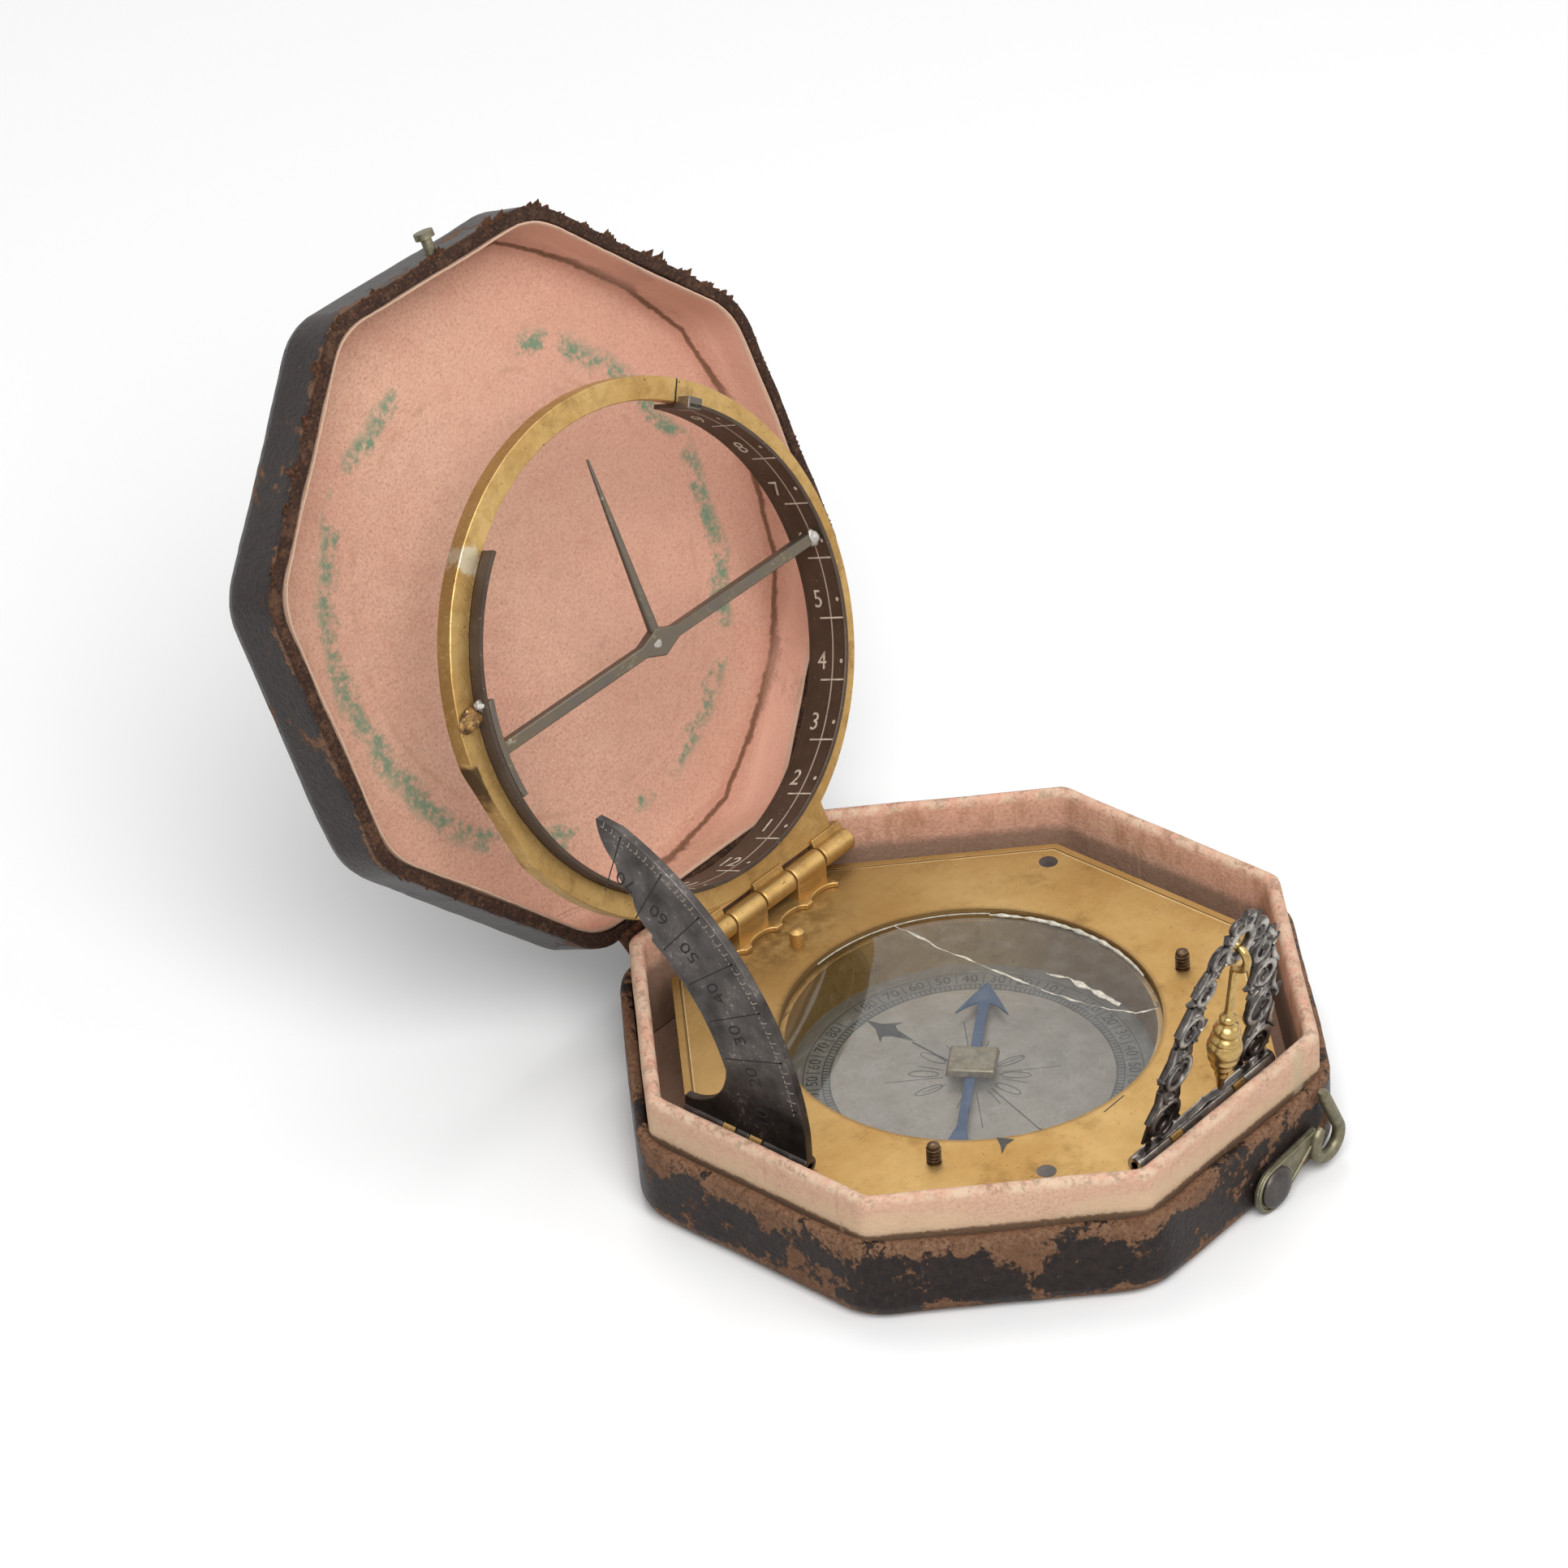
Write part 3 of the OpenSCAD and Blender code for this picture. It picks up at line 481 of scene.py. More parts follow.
# The bracket's silver: bright where the scrolls stand proud, black in the hollows
def scrollPaint():
    p = Paint("scrollSilver", bracketFrame, metallic=0.9)
    broad = p.clouds(0.5, 4, 0.6)
    fine = p.clouds(1.6, 4, 0.6)
    p.colour = p.between(broad, 0.35, 0.65, silverLook["black"], silverLook["grey"])
    proud = p.step(abs(p.y + 0.02) + (fine - 0.5) * 0.22, 0.20, 0.34)
    p.over(proud * (0.25 + p.step(broad, 0.4, 0.62) * 0.65), silverLook["worn"])
    return p.finish(Roughness=0.26 + fine * 0.2, Normal=p.bump(fine, 0.02, 0.5))


# The chapter band: brown-black silver with its scratched-in line
def bandPaint():
    p = Paint("chapterBandSilver", ringFrame, metallic=0.45)
    fine = p.clouds(2.0, 5, 0.65)
    broad = p.clouds(0.3, 4, 0.6)
    p.colour = p.between(broad, 0.35, 0.7, (0.048, 0.029, 0.018), (0.075, 0.050, 0.033))
    dots = p.spots(0.69, 0.74, 3.4, 2, 0.5)
    p.over(dots * 0.4, (0.32, 0.27, 0.21))
    front = ring["bandFront"]
    along = p.line(p.z - (front + 1.6), 0.11, 0.05)
    rim = p.line(p.z - (front + 4.25), 0.07).most(p.line(p.z - (front + 0.25), 0.05))
    p.over(along * 0.75 * p.spots(0.25, 0.4, 0.9, 3, 0.6), (0.55, 0.50, 0.42))
    p.over(rim * 0.5, (0.02, 0.014, 0.01))
    return p.finish(Roughness=0.42 + fine * 0.2, Normal=p.bump(fine - along, 0.03, 0.6))


# Engraved marks rubbed with pale dust, and marks filled with black
def markPaint(name, colour, base=worldFrame, metallic=0.2, roughness=0.6):
    p = Paint(name, base, roughness=roughness, metallic=metallic)
    fine = p.clouds(2.5, 4, 0.6)
    darker = tuple(value * 0.55 for value in colour)
    p.colour = p.between(fine, 0.35, 0.65, darker, colour)
    return p.finish()


# The dial under the glass: a turned silver disc inside a darker number ring
def dialPaint():
    p = Paint("dialSilver", worldFrame, metallic=0.55)
    radius = p.reach(p.x, p.y)
    fine = p.clouds(2.0, 5, 0.6)
    broad = p.clouds(0.22, 5, 0.6)
    uneven = p.clouds(0.9, 3, 0.6)
    turn = p.math("ARCTAN2", p.y, p.x) * (180 / pi)
    around = p.node("ShaderNodeCombineXYZ", None, {0: radius, 1: turn * 0.02})
    rings = p.node("ShaderNodeTexNoise", None, {"Vector": around, "Scale": 5.0, "Detail": 3.0})
    inner = p.fade(radius, dial["disc"] - 0.05, dial["disc"] + 0.05)
    p.colour = p.blend(inner, (0.165, 0.15, 0.132), (0.31, 0.255, 0.21))
    p.over(p.step(broad, 0.42, 0.72) * 0.5, (0.185, 0.155, 0.13))
    p.over(p.step(fine, 0.55, 0.68) * 0.3, (0.14, 0.12, 0.10))
    p.over(p.step(rings, 0.52, 0.7) * 0.22, (0.42, 0.40, 0.37))
    lines = 0.0
    for at, width in dial["rings"]:
        lines = p.line(radius - at, width).most(lines)
    p.over(lines * 0.8, (0.045, 0.042, 0.04))
    height = rings * 0.3 + uneven * 0.2 - lines
    return p.finish(Roughness=0.42 + fine * 0.2, Normal=p.bump(height, 0.03, 0.5))


# Clear glass with a mirror gloss that grows towards grazing angles
def glassPaint():
    p = Paint("compassGlass", worldFrame, roughness=0.02)
    clear = p.node("ShaderNodeBsdfTransparent", None, {0: (0.90, 0.925, 0.93)})
    gloss = p.node("ShaderNodeBsdfGlossy", None, {"Color": (1, 1, 1), "Roughness": 0.03})
    edge = p.node("ShaderNodeFresnel", None, {"IOR": 1.45})
    geometry = p.node("ShaderNodeNewGeometry").socket.node
    front = 1.0 - Shade(p, geometry.outputs["Backfacing"])
    dust = p.spots(0.4, 0.75, 0.5, 5, 0.65) * 0.05 + 0.03
    mixed = p.node("ShaderNodeMixShader", None, {0: (edge + dust) * front, 1: clear, 2: gloss})
    p.tree.links.new(mixed.socket, p.output.inputs[0])
    p.tree.nodes.remove(p.surface)
    return p.material


# Plain metal in two tones, and spots on some
def metalPaint(name, base, metallic, grain, tones, rough, relief, spots=None):
    p = Paint(name, base, metallic=metallic)
    fine = p.clouds(*grain)
    p.colour = p.between(fine, *tones)
    if spots:
        p.over(p.spots(*spots["where"]) * spots["amount"], spots["colour"])
    return p.finish(Roughness=rough[0] + fine * rough[1], Normal=p.bump(fine, *relief))


finish = {
    "leatherBase": leatherPaint("leatherBase", worldFrame, lowEdge=0.4, highEdge=8.2, wear=0.015, gloss=0.16),
    "leatherLid": leatherPaint("leatherLid", lidFrame, lowEdge=-0.6, highEdge=8.4, wear=-0.030, gloss=0.24,
                               rimAt=0.28),
    "tornLeather": tornPaint(),
    "collarPaper": collarPaint(),
    "lidPaper": lidPaperPaint(),
    "gilt": giltPaint("giltFittings"),
    "giltRing": ringPaint(),
    "giltBob": metalPaint(
        "polishedBob", bobFrame, metallic=0.95, grain=(2.2, 5, 0.65), rough=(0.2, 0.1), relief=(0.006, 0.4),
        tones=(0.35, 0.65, (0.36, 0.24, 0.08), (0.52, 0.36, 0.14)),
        spots={"where": (0.5, 0.7, 0.5, 5, 0.7), "amount": 0.4, "colour": (0.20, 0.12, 0.04)}),
    "brassScrew": metalPaint(
        "darkBrassScrew", worldFrame, metallic=0.85, grain=(1.4, 4, 0.6), rough=(0.28, 0.15),
        relief=(0.02, 0.4), tones=(0.35, 0.65, (0.065, 0.040, 0.023), (0.15, 0.095, 0.05))),
    "cap": metalPaint(
        "capBrass", worldFrame, metallic=0.8, grain=(1.8, 5, 0.7), rough=(0.35, 0.2), relief=(0.03, 0.6),
        tones=(0.35, 0.65, (0.15, 0.115, 0.07), (0.30, 0.23, 0.145))),
    "catch": metalPaint(
        "catchBrass", worldFrame, metallic=0.8, grain=(1.3, 5, 0.65), rough=(0.34, 0.25), relief=(0.04, 0.6),
        tones=(0.3, 0.7, (0.11, 0.095, 0.06), (0.22, 0.20, 0.13)),
        spots={"where": (0.62, 0.72, 2.8, 3, 0.6), "amount": 0.5, "colour": (0.42, 0.40, 0.28)}),
    "needle": metalPaint(
        "bluedNeedle", worldFrame, metallic=0.35, grain=(1.6, 5, 0.65), rough=(0.4, 0.2), relief=(0.02, 0.5),
        tones=(0.3, 0.7, (0.015, 0.040, 0.098), (0.030, 0.066, 0.138))),
    "oldSolder": metalPaint(
        "oldSolder", ringFrame, metallic=0.7, grain=(1.1, 6, 0.7), rough=(0.3, 0.3), relief=(0.2, 0.9),
        tones=(0.38, 0.62, (0.05, 0.032, 0.018), (0.42, 0.23, 0.075)),
        spots={"where": (0.58, 0.66, 1.7, 4, 0.7), "amount": 1.0, "colour": (0.62, 0.42, 0.20)}),
    "solder": silverPaint("solder", ringFrame, deep="grey", tone="worn", wornAt=0.45, metallic=0.5),
    "plate": platePaint(),
    "band": bandPaint(),
    "arc": silverPaint("arcSilver", arcFrame, wornAt=0.55, wornBy=0.35),
    "scrolls": scrollPaint(),
    "gnomon": silverPaint("gnomonSteel", ringFrame, deep="grey", tone="olive", wornAt=0.56, metallic=0.75),
    "darkMetal": silverPaint("darkRivets", worldFrame, wornAt=0.72),
    "bandMark": markPaint("bandScratches", (0.60, 0.53, 0.43), ringFrame),
    "cement": markPaint("whiteCement", (0.58, 0.54, 0.45)),
    "arcMark": markPaint("arcScratches", (0.012, 0.010, 0.009), roughness=0.9, metallic=0.0),
    "scaleMark": markPaint("arcScale", (0.42, 0.35, 0.27)),
    "blackMark": markPaint("blackScratches", (0.045, 0.04, 0.035), roughness=0.5),
    "dialMark": markPaint("dialEngravings", (0.03, 0.027, 0.025), roughness=0.7, metallic=0.0),
    "dial": dialPaint(),
    "glass": glassPaint(),
}
print("finishes made:", len(finish))


# Mesh tools. Every piece is drawn in mm in its own frame and set in its place through a matrix
def addPiece(name, shape, material, body, base=worldFrame, replaces=(), smooth=40, bevel=None, steps=2):
    mesh = bpy.data.meshes.new(name)
    mesh.from_pydata([base @ (Vector(v) * mm) for v in shape[0]], [], shape[1])
    mesh.validate()
    piece = bpy.data.objects.new(name, mesh)
    scene.collection.objects.link(piece)
    tidyNormals(piece)
    settle(piece, material, body, replaces, smooth)
    if bevel:
        bevelPiece(piece, bevel, steps)
    return piece


def tidyNormals(piece):
    work = bmesh.new()
    work.from_mesh(piece.data)
    bmesh.ops.remove_doubles(work, verts=work.verts, dist=1e-7)
    bmesh.ops.recalc_face_normals(work, faces=work.faces)
    work.to_mesh(piece.data)
    work.free()


def settle(piece, material, body, replaces, smooth):
    piece.data.materials.clear()
    piece.data.materials.append(finish[material])
    if smooth:
        piece.data.shade_smooth()
        piece.data.set_sharp_from_angle(angle=radians(smooth))
    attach(piece, body)
    if replaces:
        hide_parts(*replaces)


def bake(piece):
    # Turns a piece's modifiers into plain mesh
    bpy.context.view_layer.update()
    result = bpy.data.meshes.new_from_object(
        piece.evaluated_get(bpy.context.evaluated_depsgraph_get()))
    piece.modifiers.clear()
    old = piece.data
    piece.data = result
    bpy.data.meshes.remove(old)


def bevelPiece(piece, width, steps):
    edge = piece.modifiers.new("softEdge", "BEVEL")
    edge.width, edge.segments, edge.limit_method = width * mm, steps, "ANGLE"
    edge.angle_limit = radians(35)
    bake(piece)


def spun(x, y, angle, middle=(0, 0)):
    # The point (x, y) turned about the origin and then set off by middle
    turn = radians(angle)
    return middle[0] + x * cos(turn) - y * sin(turn), middle[1] + x * sin(turn) + y * cos(turn)


def octagonOutline(half, cornerRound, perSide, perCorner=6):
    # Points round a regular octagon whose corners are rounded
    c = half * tan(pi / 8)
    corners = [(half, c), (c, half), (-c, half), (-half, c), (-half, -c), (-c, -half), (c, -half), (half, -c)]
    cut = min(cornerRound * tan(pi / 8), 0.9 * c)
    points = []
    for i, corner in enumerate(corners):
        here = Vector(corner)
        before = (Vector(corners[i - 1]) - here).normalized()
        after = (Vector(corners[(i + 1) % 8]) - here).normalized()
        for step in range(perCorner + 1):
            t = step / perCorner
            start, end = here + before * cut, here + after * cut
            points.append((1 - t) ** 2 * start + 2 * t * (1 - t) * here + t * t * end)
        following = Vector(corners[(i + 1) % 8])
        start, end = here + after * cut, following - after * cut
        points += [start.lerp(end, k / perSide) for k in range(1, perSide)]
    return points


def weave(rows, count, wrapRows, wrapCount=True):
    # Faces between rows of points; rows that don't wrap round are closed at both ends
    faces = []
    for row in range(rows if wrapRows else rows - 1):
        a, b = row * count, (row + 1) % rows * count
        for k in range(count if wrapCount else count - 1):
            n = (k + 1) % count
            faces.append((a + k, a + n, b + n, b + k))
    if wrapCount and not wrapRows:
        faces += [tuple(range(count)), tuple(range((rows - 1) * count, rows * count))]
    return faces


def octagonLoft(profile, closed, rough, seed, centre=(0, 0), perSide=22, cornerRound=1.6):
    # Rings of an octagon along a profile of (half-width, height), roughened like worn leather or paper
    verts = []
    limit = max(half for half, _ in profile)
    for half, z in profile:
        outline = octagonOutline(half, cornerRound * min(1, half / 20), perSide)
        for point in outline:
            spot = Vector((point.x, point.y, z))
            lift = Vector((noise.noise(spot * 0.13 + Vector((seed, 0, 0))),
                           noise.noise(spot * 0.13 + Vector((0, seed + 7, 0))),
                           noise.noise(spot * 0.2 + Vector((0, 3, seed)))))
            small = noise.noise(spot * 1.1 + Vector((seed, seed, 5)))
            out = Vector((point.x, point.y, 0)).normalized()
            spot += rough * (lift + out * small * 0.35)
            for axis in (0, 1):
                spot[axis] = max(-limit, min(limit, spot[axis]))
            verts.append((spot.x + centre[0], spot.y + centre[1], max(spot.z, min(0.0, z))))
    return verts, weave(len(profile), len(outline), closed)


def lathe(profile, steps, sweep=360.0, start=0.0, closed=True):
    # Turns a profile of (radius, height) about the Z axis; a closed profile gives a ring
    whole = sweep >= 360
    rows = steps if whole else steps + 1
    verts = [(*spun(r, 0, start + sweep * i / steps), z) for i in range(rows) for r, z in profile]
    return verts, weave(rows, len(profile), whole, closed)


def barrel(low, high, face, steps):
    # Rod of 0.8 mm radius along Z, with the edges of its ends taken off
    edge, out = 0.1, 0.8
    profile = [(0.0, low), (face, low), (out, low + edge), (out, high - edge), (face, high), (0.0, high)]
    return lathe(profile, steps, closed=False)


def merged(*shapes):
    verts, faces = [], []
    for shapeVerts, shapeFaces in shapes:
        at = len(verts)
        verts += [tuple(v) for v in shapeVerts]
        faces += [tuple(at + i for i in face) for face in shapeFaces]
    return verts, faces


def moved(shape, matrix):
    return [tuple(matrix @ Vector(v)) for v in shape[0]], shape[1]


def alongX(shape, x=0):
    return moved(shape, Matrix.Translation((x, 0, 0)) @ turned(90, "Y"))


def standing(shape, z=0):
    return moved(shape, Matrix.Translation((0, 0, z)) @ turned(90, "X"))


def flatShape(outline, z):
    return [(x, y, z) for x, y in outline], [tuple(range(len(outline)))]


def slab(outline, low, high):
    # Upright prism over a closed outline
    n = len(outline)
    verts = [(x, y, low) for x, y in outline] + [(x, y, high) for x, y in outline]
    faces = [tuple(range(n))[::-1], tuple(range(n, 2 * n))]
    faces += [(k, (k + 1) % n, n + (k + 1) % n, n + k) for k in range(n)]
    return verts, faces


def tube(points, radii, sides):
    # Round bar along points, capped at both ends
    verts = []
    points = [Vector(p) for p in points]
    if not isinstance(radii, (list, tuple)):
        radii = [radii] * len(points)
    up = Vector((0, 0, 1))
    for i, point in enumerate(points):
        ahead = (points[min(i + 1, len(points) - 1)] - points[max(i - 1, 0)]).normalized()
        side = ahead.cross(up)
        if side.length < 1e-3:
            side = ahead.cross(Vector((0, 1, 0)))
        side.normalize()
        up = side.cross(ahead).normalized()
        for k in range(sides):
            turn = 2 * pi * k / sides
            verts.append(tuple(point + radii[i] * (cos(turn) * side + sin(turn) * up)))
    return verts, weave(len(points), sides, False)


def textShape(text, size, thick):
    # A figure as a thin mesh, centred on the origin and facing +Z
    curve = bpy.data.curves.new("figure", "FONT")
    curve.body, curve.size = text, size
    curve.align_x, curve.align_y = "CENTER", "CENTER"
    curve.resolution_u, curve.extrude = 3, thick / 2
    holder = bpy.data.objects.new("figure", curve)
    scene.collection.objects.link(holder)
    bpy.context.view_layer.update()
    mesh = bpy.data.meshes.new_from_object(holder)
    shape = [tuple(v.co) for v in mesh.vertices], [tuple(f.vertices) for f in mesh.polygons]
    bpy.data.objects.remove(holder)
    bpy.data.curves.remove(curve)
    bpy.data.meshes.remove(mesh)
    return shape


# Geometry Nodes: bars set round a circle, for the ticks of the dial, the band and the arc
def tickTree():
    tree = bpy.data.node_groups.new("ticksRound", "GeometryNodeTree")
    face = tree.interface
    face.new_socket("Geometry", in_out="OUTPUT", socket_type="NodeSocketGeometry")
    for name, kind in (("Count", "Int"), ("Radius", "Float"), ("First Angle", "Float"), ("Step", "Float"),
                       ("Size", "Vector"), ("Height", "Float"), ("Finish", "Material")):
        face.new_socket(name, in_out="INPUT", socket_type="NodeSocket" + kind)

    def make(kind, inputs=None, operation=None):
        made = tree.nodes.new(kind)
        if operation:
            made.operation = operation
        for key, source in (inputs or {}).items():
            tree.links.new(source, made.inputs[key])
        return made.outputs

    given, index = make("NodeGroupInput"), make("GeometryNodeInputIndex")
    factors = {0: index[0], 1: given["Step"], 2: given["First Angle"]}
    turn = make("ShaderNodeMath", factors, "MULTIPLY_ADD")[0]
    place = {2: given["Height"]}
    for axis, operation in enumerate(("COSINE", "SINE")):
        wave = make("ShaderNodeMath", {0: turn}, operation)[0]
        place[axis] = make("ShaderNodeMath", {0: wave, 1: given["Radius"]}, "MULTIPLY")[0]
    spot = make("ShaderNodeCombineXYZ", place)[0]
    line = make("GeometryNodeMeshLine", {"Count": given["Count"]})[0]
    points = make("GeometryNodeSetPosition", {"Geometry": line, "Position": spot})[0]
    bar = make("GeometryNodeMeshCube", {"Size": given["Size"]})["Mesh"]
    facing = make("ShaderNodeCombineXYZ", {2: turn})[0]
    spread = make("GeometryNodeInstanceOnPoints", {"Points": points, "Instance": bar, "Rotation": facing})[0]
    real = make("GeometryNodeRealizeInstances", {0: spread})[0]
    painted = make("GeometryNodeSetMaterial", {"Geometry": real, "Material": given["Finish"]})[0]
    make("NodeGroupOutput", {0: painted})
    return tree


ticksTree = tickTree()


def ticks(name, body, base, count, radius, first, step, size, height, material):
    mesh = bpy.data.meshes.new(name)
    piece = bpy.data.objects.new(name, mesh)
    scene.collection.objects.link(piece)
    spread = piece.modifiers.new("spread", "NODES")
    spread.node_group = ticksTree
    values = {"Count": count, "Radius": radius * mm, "First Angle": radians(first), "Step": radians(step),
              "Size": tuple(value * mm for value in size), "Height": height * mm, "Finish": finish[material]}
    for item in ticksTree.interface.items_tree:
        if item.in_out == "INPUT":
            spread[item.identifier] = values[item.name]
    bake(piece)
    piece.data.transform(base)
    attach(piece, body)


def climb(half, first, last, count):
    # Evenly spaced levels of a profile along a wall, without the first
    return [(half, first + (last - first) * k / count) for k in range(1, count + 1)]


# Case base: leather tray and the paper-lined wall standing in it
def makeBase():
    h, t, floor = case["half"], case["top"], case["floor"]
    wall = case["collarHalf"] + case["collarWall"]
    loose = wall + 0.05
    outside = [(2, 0), (12, 0), (22, 0), (26.5, 0), (28.0, 0.05), (28.7, 0.3), (29.2, 0.8)]
    outside += [(h, 1.6), (h, 2.4)] + climb(h, 2.4, t - 0.6, 6)
    outside += [(h - 0.1, t - 0.2), (h - 0.35, t), (h - 0.7, t), (wall + 0.1, t - 0.2), (loose, t - 1)]
    outside += [(loose, 4), (loose, floor), (22, floor), (2, floor)]
    tray = octagonLoft(outside, False, rough=0.13, seed=2.0, cornerRound=6.0)
    addPiece("leatherTray", tray, "leatherBase", "base", replaces=["base_shell"])
    c, top = case["collarHalf"], case["collarTop"]
    loop = [(wall, 1.3), (wall, 5), (wall, 7.5)] + climb(wall, 7.5, 11.4, 5)
    loop += [(wall - 0.12, top - 0.3), (wall - 0.35, top - 0.08), (wall - 0.65, top), (c + 0.35, top - 0.08),
             (c + 0.12, top - 0.3), (c, top - 0.7)]
    loop += climb(c, top - 0.7, 2.3, 8) + [(c, 1.6)]
    collar = octagonLoft(loop, True, rough=0.09, seed=5.0, perSide=26)
    addPiece("pinkWall", collar, "collarPaper", "base", replaces=["base_collar"])


def makeLid():
    h, d, skin = lid["half"], lid["depth"], lid["skin"]
    shell = [(2, d), (12, d), (22, d), (27, d), (28.6, d - 0.1), (29.5, d - 0.5), (30.1, d - 1.2)]
    shell += [(h, d - 2.1)] + climb(h, d - 2.1, 0.4, 6)
    shell += [(h - 0.15, 0.1), (h - 0.4, 0), (h - 0.8, -0.02), (h - 1.1, 0.03), (h - 1.22, 0.25)]
    inside = h - skin + 0.02
    shell += [(h - 1.2, 0.6), (inside, 0.8), (inside, d - skin), (24, d - skin), (2, d - skin)]
    leather = octagonLoft(shell, False, rough=0.16, seed=11.0, centre=(0, -h), perSide=26, cornerRound=6.5)
    addPiece("leatherLidShell", leather, "leatherLid", "lid", lidFrame, ["lid_shell"])
    inner, floor = h - 2 * skin, d - 2 * skin
    loop = [(2, floor)] + [(2 + 25.2 * k / 12, floor) for k in range(1, 13)]
    loop += [(27.7, floor - 0.12), (28.15, floor - 0.4), (28.5, floor - 0.9), (28.7, floor - 1.5)]
    loop += [(inner, floor - 2.3)] + climb(inner, floor - 2.3, 0.5, 4)
    loop += [(inner + 0.03, 0.2), (inner + 0.14, 0.06), (h - 1.34, 0.1), (h - 1.26, 0.35), (h - 1.22, 0.95)]
    back = d - skin - 0.02
    loop += [(h - skin - 0.04, 1.0), (h - skin - 0.02, floor + 0.4), (h - skin - 0.1, back), (2, back)]
    lining = octagonLoft(loop, False, rough=0.13, seed=23.0, centre=(0, -h), perSide=26, cornerRound=6.5)
    addPiece("pinkLidLining", lining, "lidPaper", "lid", lidFrame,
             ["lid_wall_lining", "lid_floor_lining"])


makeBase()
makeLid()
print("case made")


# Hour ring: gilt ring with a filed flat, hinge tab and knuckles; dark band with its figures
knuckles = {"from": -8.0, "length": 4.0, "radius": 1.05, "bore": 0.52, "gap": 0.15}


def ringPoint(radius, angle, z):
    # Angle from +X towards the ring's top
    turn = radians(angle)
    return radius * cos(turn), -ring["reach"] - radius * sin(turn), z


def makeRing():
    o, i, low = ring["outer"], ring["inner"], ring["front"]
    high, e = low + ring["thick"], 0.07
    profile = [(i, low + e), (i + e, low), (o - e, low), (o, low + e),
               (o, high - e), (o - e, high), (i + e, high), (i, high - e)]
    verts, faces = lathe(profile, 288)
    flat = radians(-192)
    filed = []
    for x, y, height in verts:
        reach = x * cos(flat) + y * sin(flat)
        if reach > o - 0.6 and hypot(x, y) > i + 0.5:
            back = reach - (o - 0.6)
            x, y = x - back * cos(flat), y - back * sin(flat)
        wobble = 0.025 * noise.noise(Vector((x, y, height)) * 0.7)
        filed.append((x * (1 + wobble / o), y * (1 + wobble / o) - ring["reach"], height + wobble * 0.6))
    addPiece("giltHourRing", (filed, faces), "giltRing", "hour_ring", ringFrame, ["hour_ring"])


def knuckleShapes(index, back, front, low, high):
    # One knuckle of the ring's hinge, and the block that joins it to its leaf
    start = knuckles["from"] + index * knuckles["length"] + knuckles["gap"] / 2
    length = knuckles["length"] - knuckles["gap"]
    end, r, bore = start + length, knuckles["radius"], knuckles["bore"]
    profile = [(bore, 0), (r - 0.1, 0), (r, 0.1), (r, length - 0.1), (r - 0.1, length), (bore, length)]
    return [alongX(lathe(profile, 40), start),
            slab([(start, back), (end, back), (end, front), (start, front)], low, high)]


def makeTab():
    low, high = ring["front"] + 0.06, ring["front"] + ring["thick"] - 0.06
    outline = []
    for k in range(25):
        x = -8.2 + 19.2 * k / 24
        outline.append((x, -ring["reach"] + sqrt((ring["outer"] - 0.3) ** 2 - x * x)))
    outline += [(11.0, -1.9), (10.6, -1.25), (-7.9, -1.25), (-8.2, -1.9)]
    shapes = [slab(outline, low, high)]
    for index in (0, 2, 4):
        shapes += knuckleShapes(index, -1.7, 0, 0.1, 1.02)
    tab = addPiece("ringHingeTab", merged(*shapes), "giltRing", "hour_ring", ringFrame, bevel=0.08)
    tab.data.shade_smooth()


def makeBand():
    i, w, z = ring["bandInner"], ring["bandWidth"], ring["bandFront"]
    profile = [(i, z + 0.06), (i + 0.06, z), (i + 0.36, z), (i + 0.4, z + 0.06), (i + 0.4, z + w - 0.06),
               (i + 0.36, z + w), (i + 0.06, z + w), (i, z + w - 0.06)]
    verts, faces = lathe(profile, 240, ring["bandSweep"], ring["bandFrom"])
    band = [(x, y - ring["reach"], height) for x, y, height in verts], faces
    addPiece("darkChapterBand", band, "band", "hour_ring", ringFrame, ["chapter_band"])
    block = slab([(-0.55, -0.8), (0.65, -0.8), (0.65, 0.8), (-0.4, 0.8)], z, ring["front"] + 0.5)
    lip = moved(block, Matrix.Translation(ringPoint(ring["inner"] - 0.1, 54.0, 0)) @ turned(-54, "Z"))
    addPiece("bandEndLip", lip, "gnomon", "hour_ring", ringFrame, bevel=0.12)


bandMarks = {"figure": 2.3, "figureAt": 2.95, "dotAt": 0.5, "tickLength": 2.9}


def makeBandMarks():
    # Figures lie on the inside of the band: 12 at the hinge, 15 degrees to the hour
    shapes = []
    radius, front = ring["bandInner"] - 0.02, ring["bandFront"]
    for hour in range(-9, 10):
        angle = -90 + 15 * hour
        if angle > 50 or angle < -226:
            continue
        verts, faces = textShape(str((hour - 1) % 12 + 1), bandMarks["figure"], 0.02)
        level = front + bandMarks["figureAt"]
        bent = [ringPoint(radius - h, angle + degrees(y / radius), level - x) for x, y, h in verts]
        shapes.append((bent, faces))
        shapes.append(dotShape(radius, angle, front + bandMarks["dotAt"]))
    addPiece("bandFigures", merged(*shapes), "bandMark", "hour_ring", ringFrame, smooth=0)
    length, middle = bandMarks["tickLength"], ringFrame @ shifted(0, -ring["reach"], 0)
    ticks("bandHalfHours", "hour_ring", middle, 18, radius, -40.5, 15,
          (0.03, 0.15, length), front + 0.1 + length / 2, "bandMark")


def dotShape(radius, angle, z):
    rim = []
    for k in range(10):
        turn = 2 * pi * k / 10
        across, up = 0.2 * cos(turn), 0.2 * sin(turn)
        rim.append(ringPoint(radius - 0.01, angle + degrees(across / radius), z + up))
    return rim, [tuple(range(10))]


makeRing()
makeTab()
makeBand()
makeBandMarks()


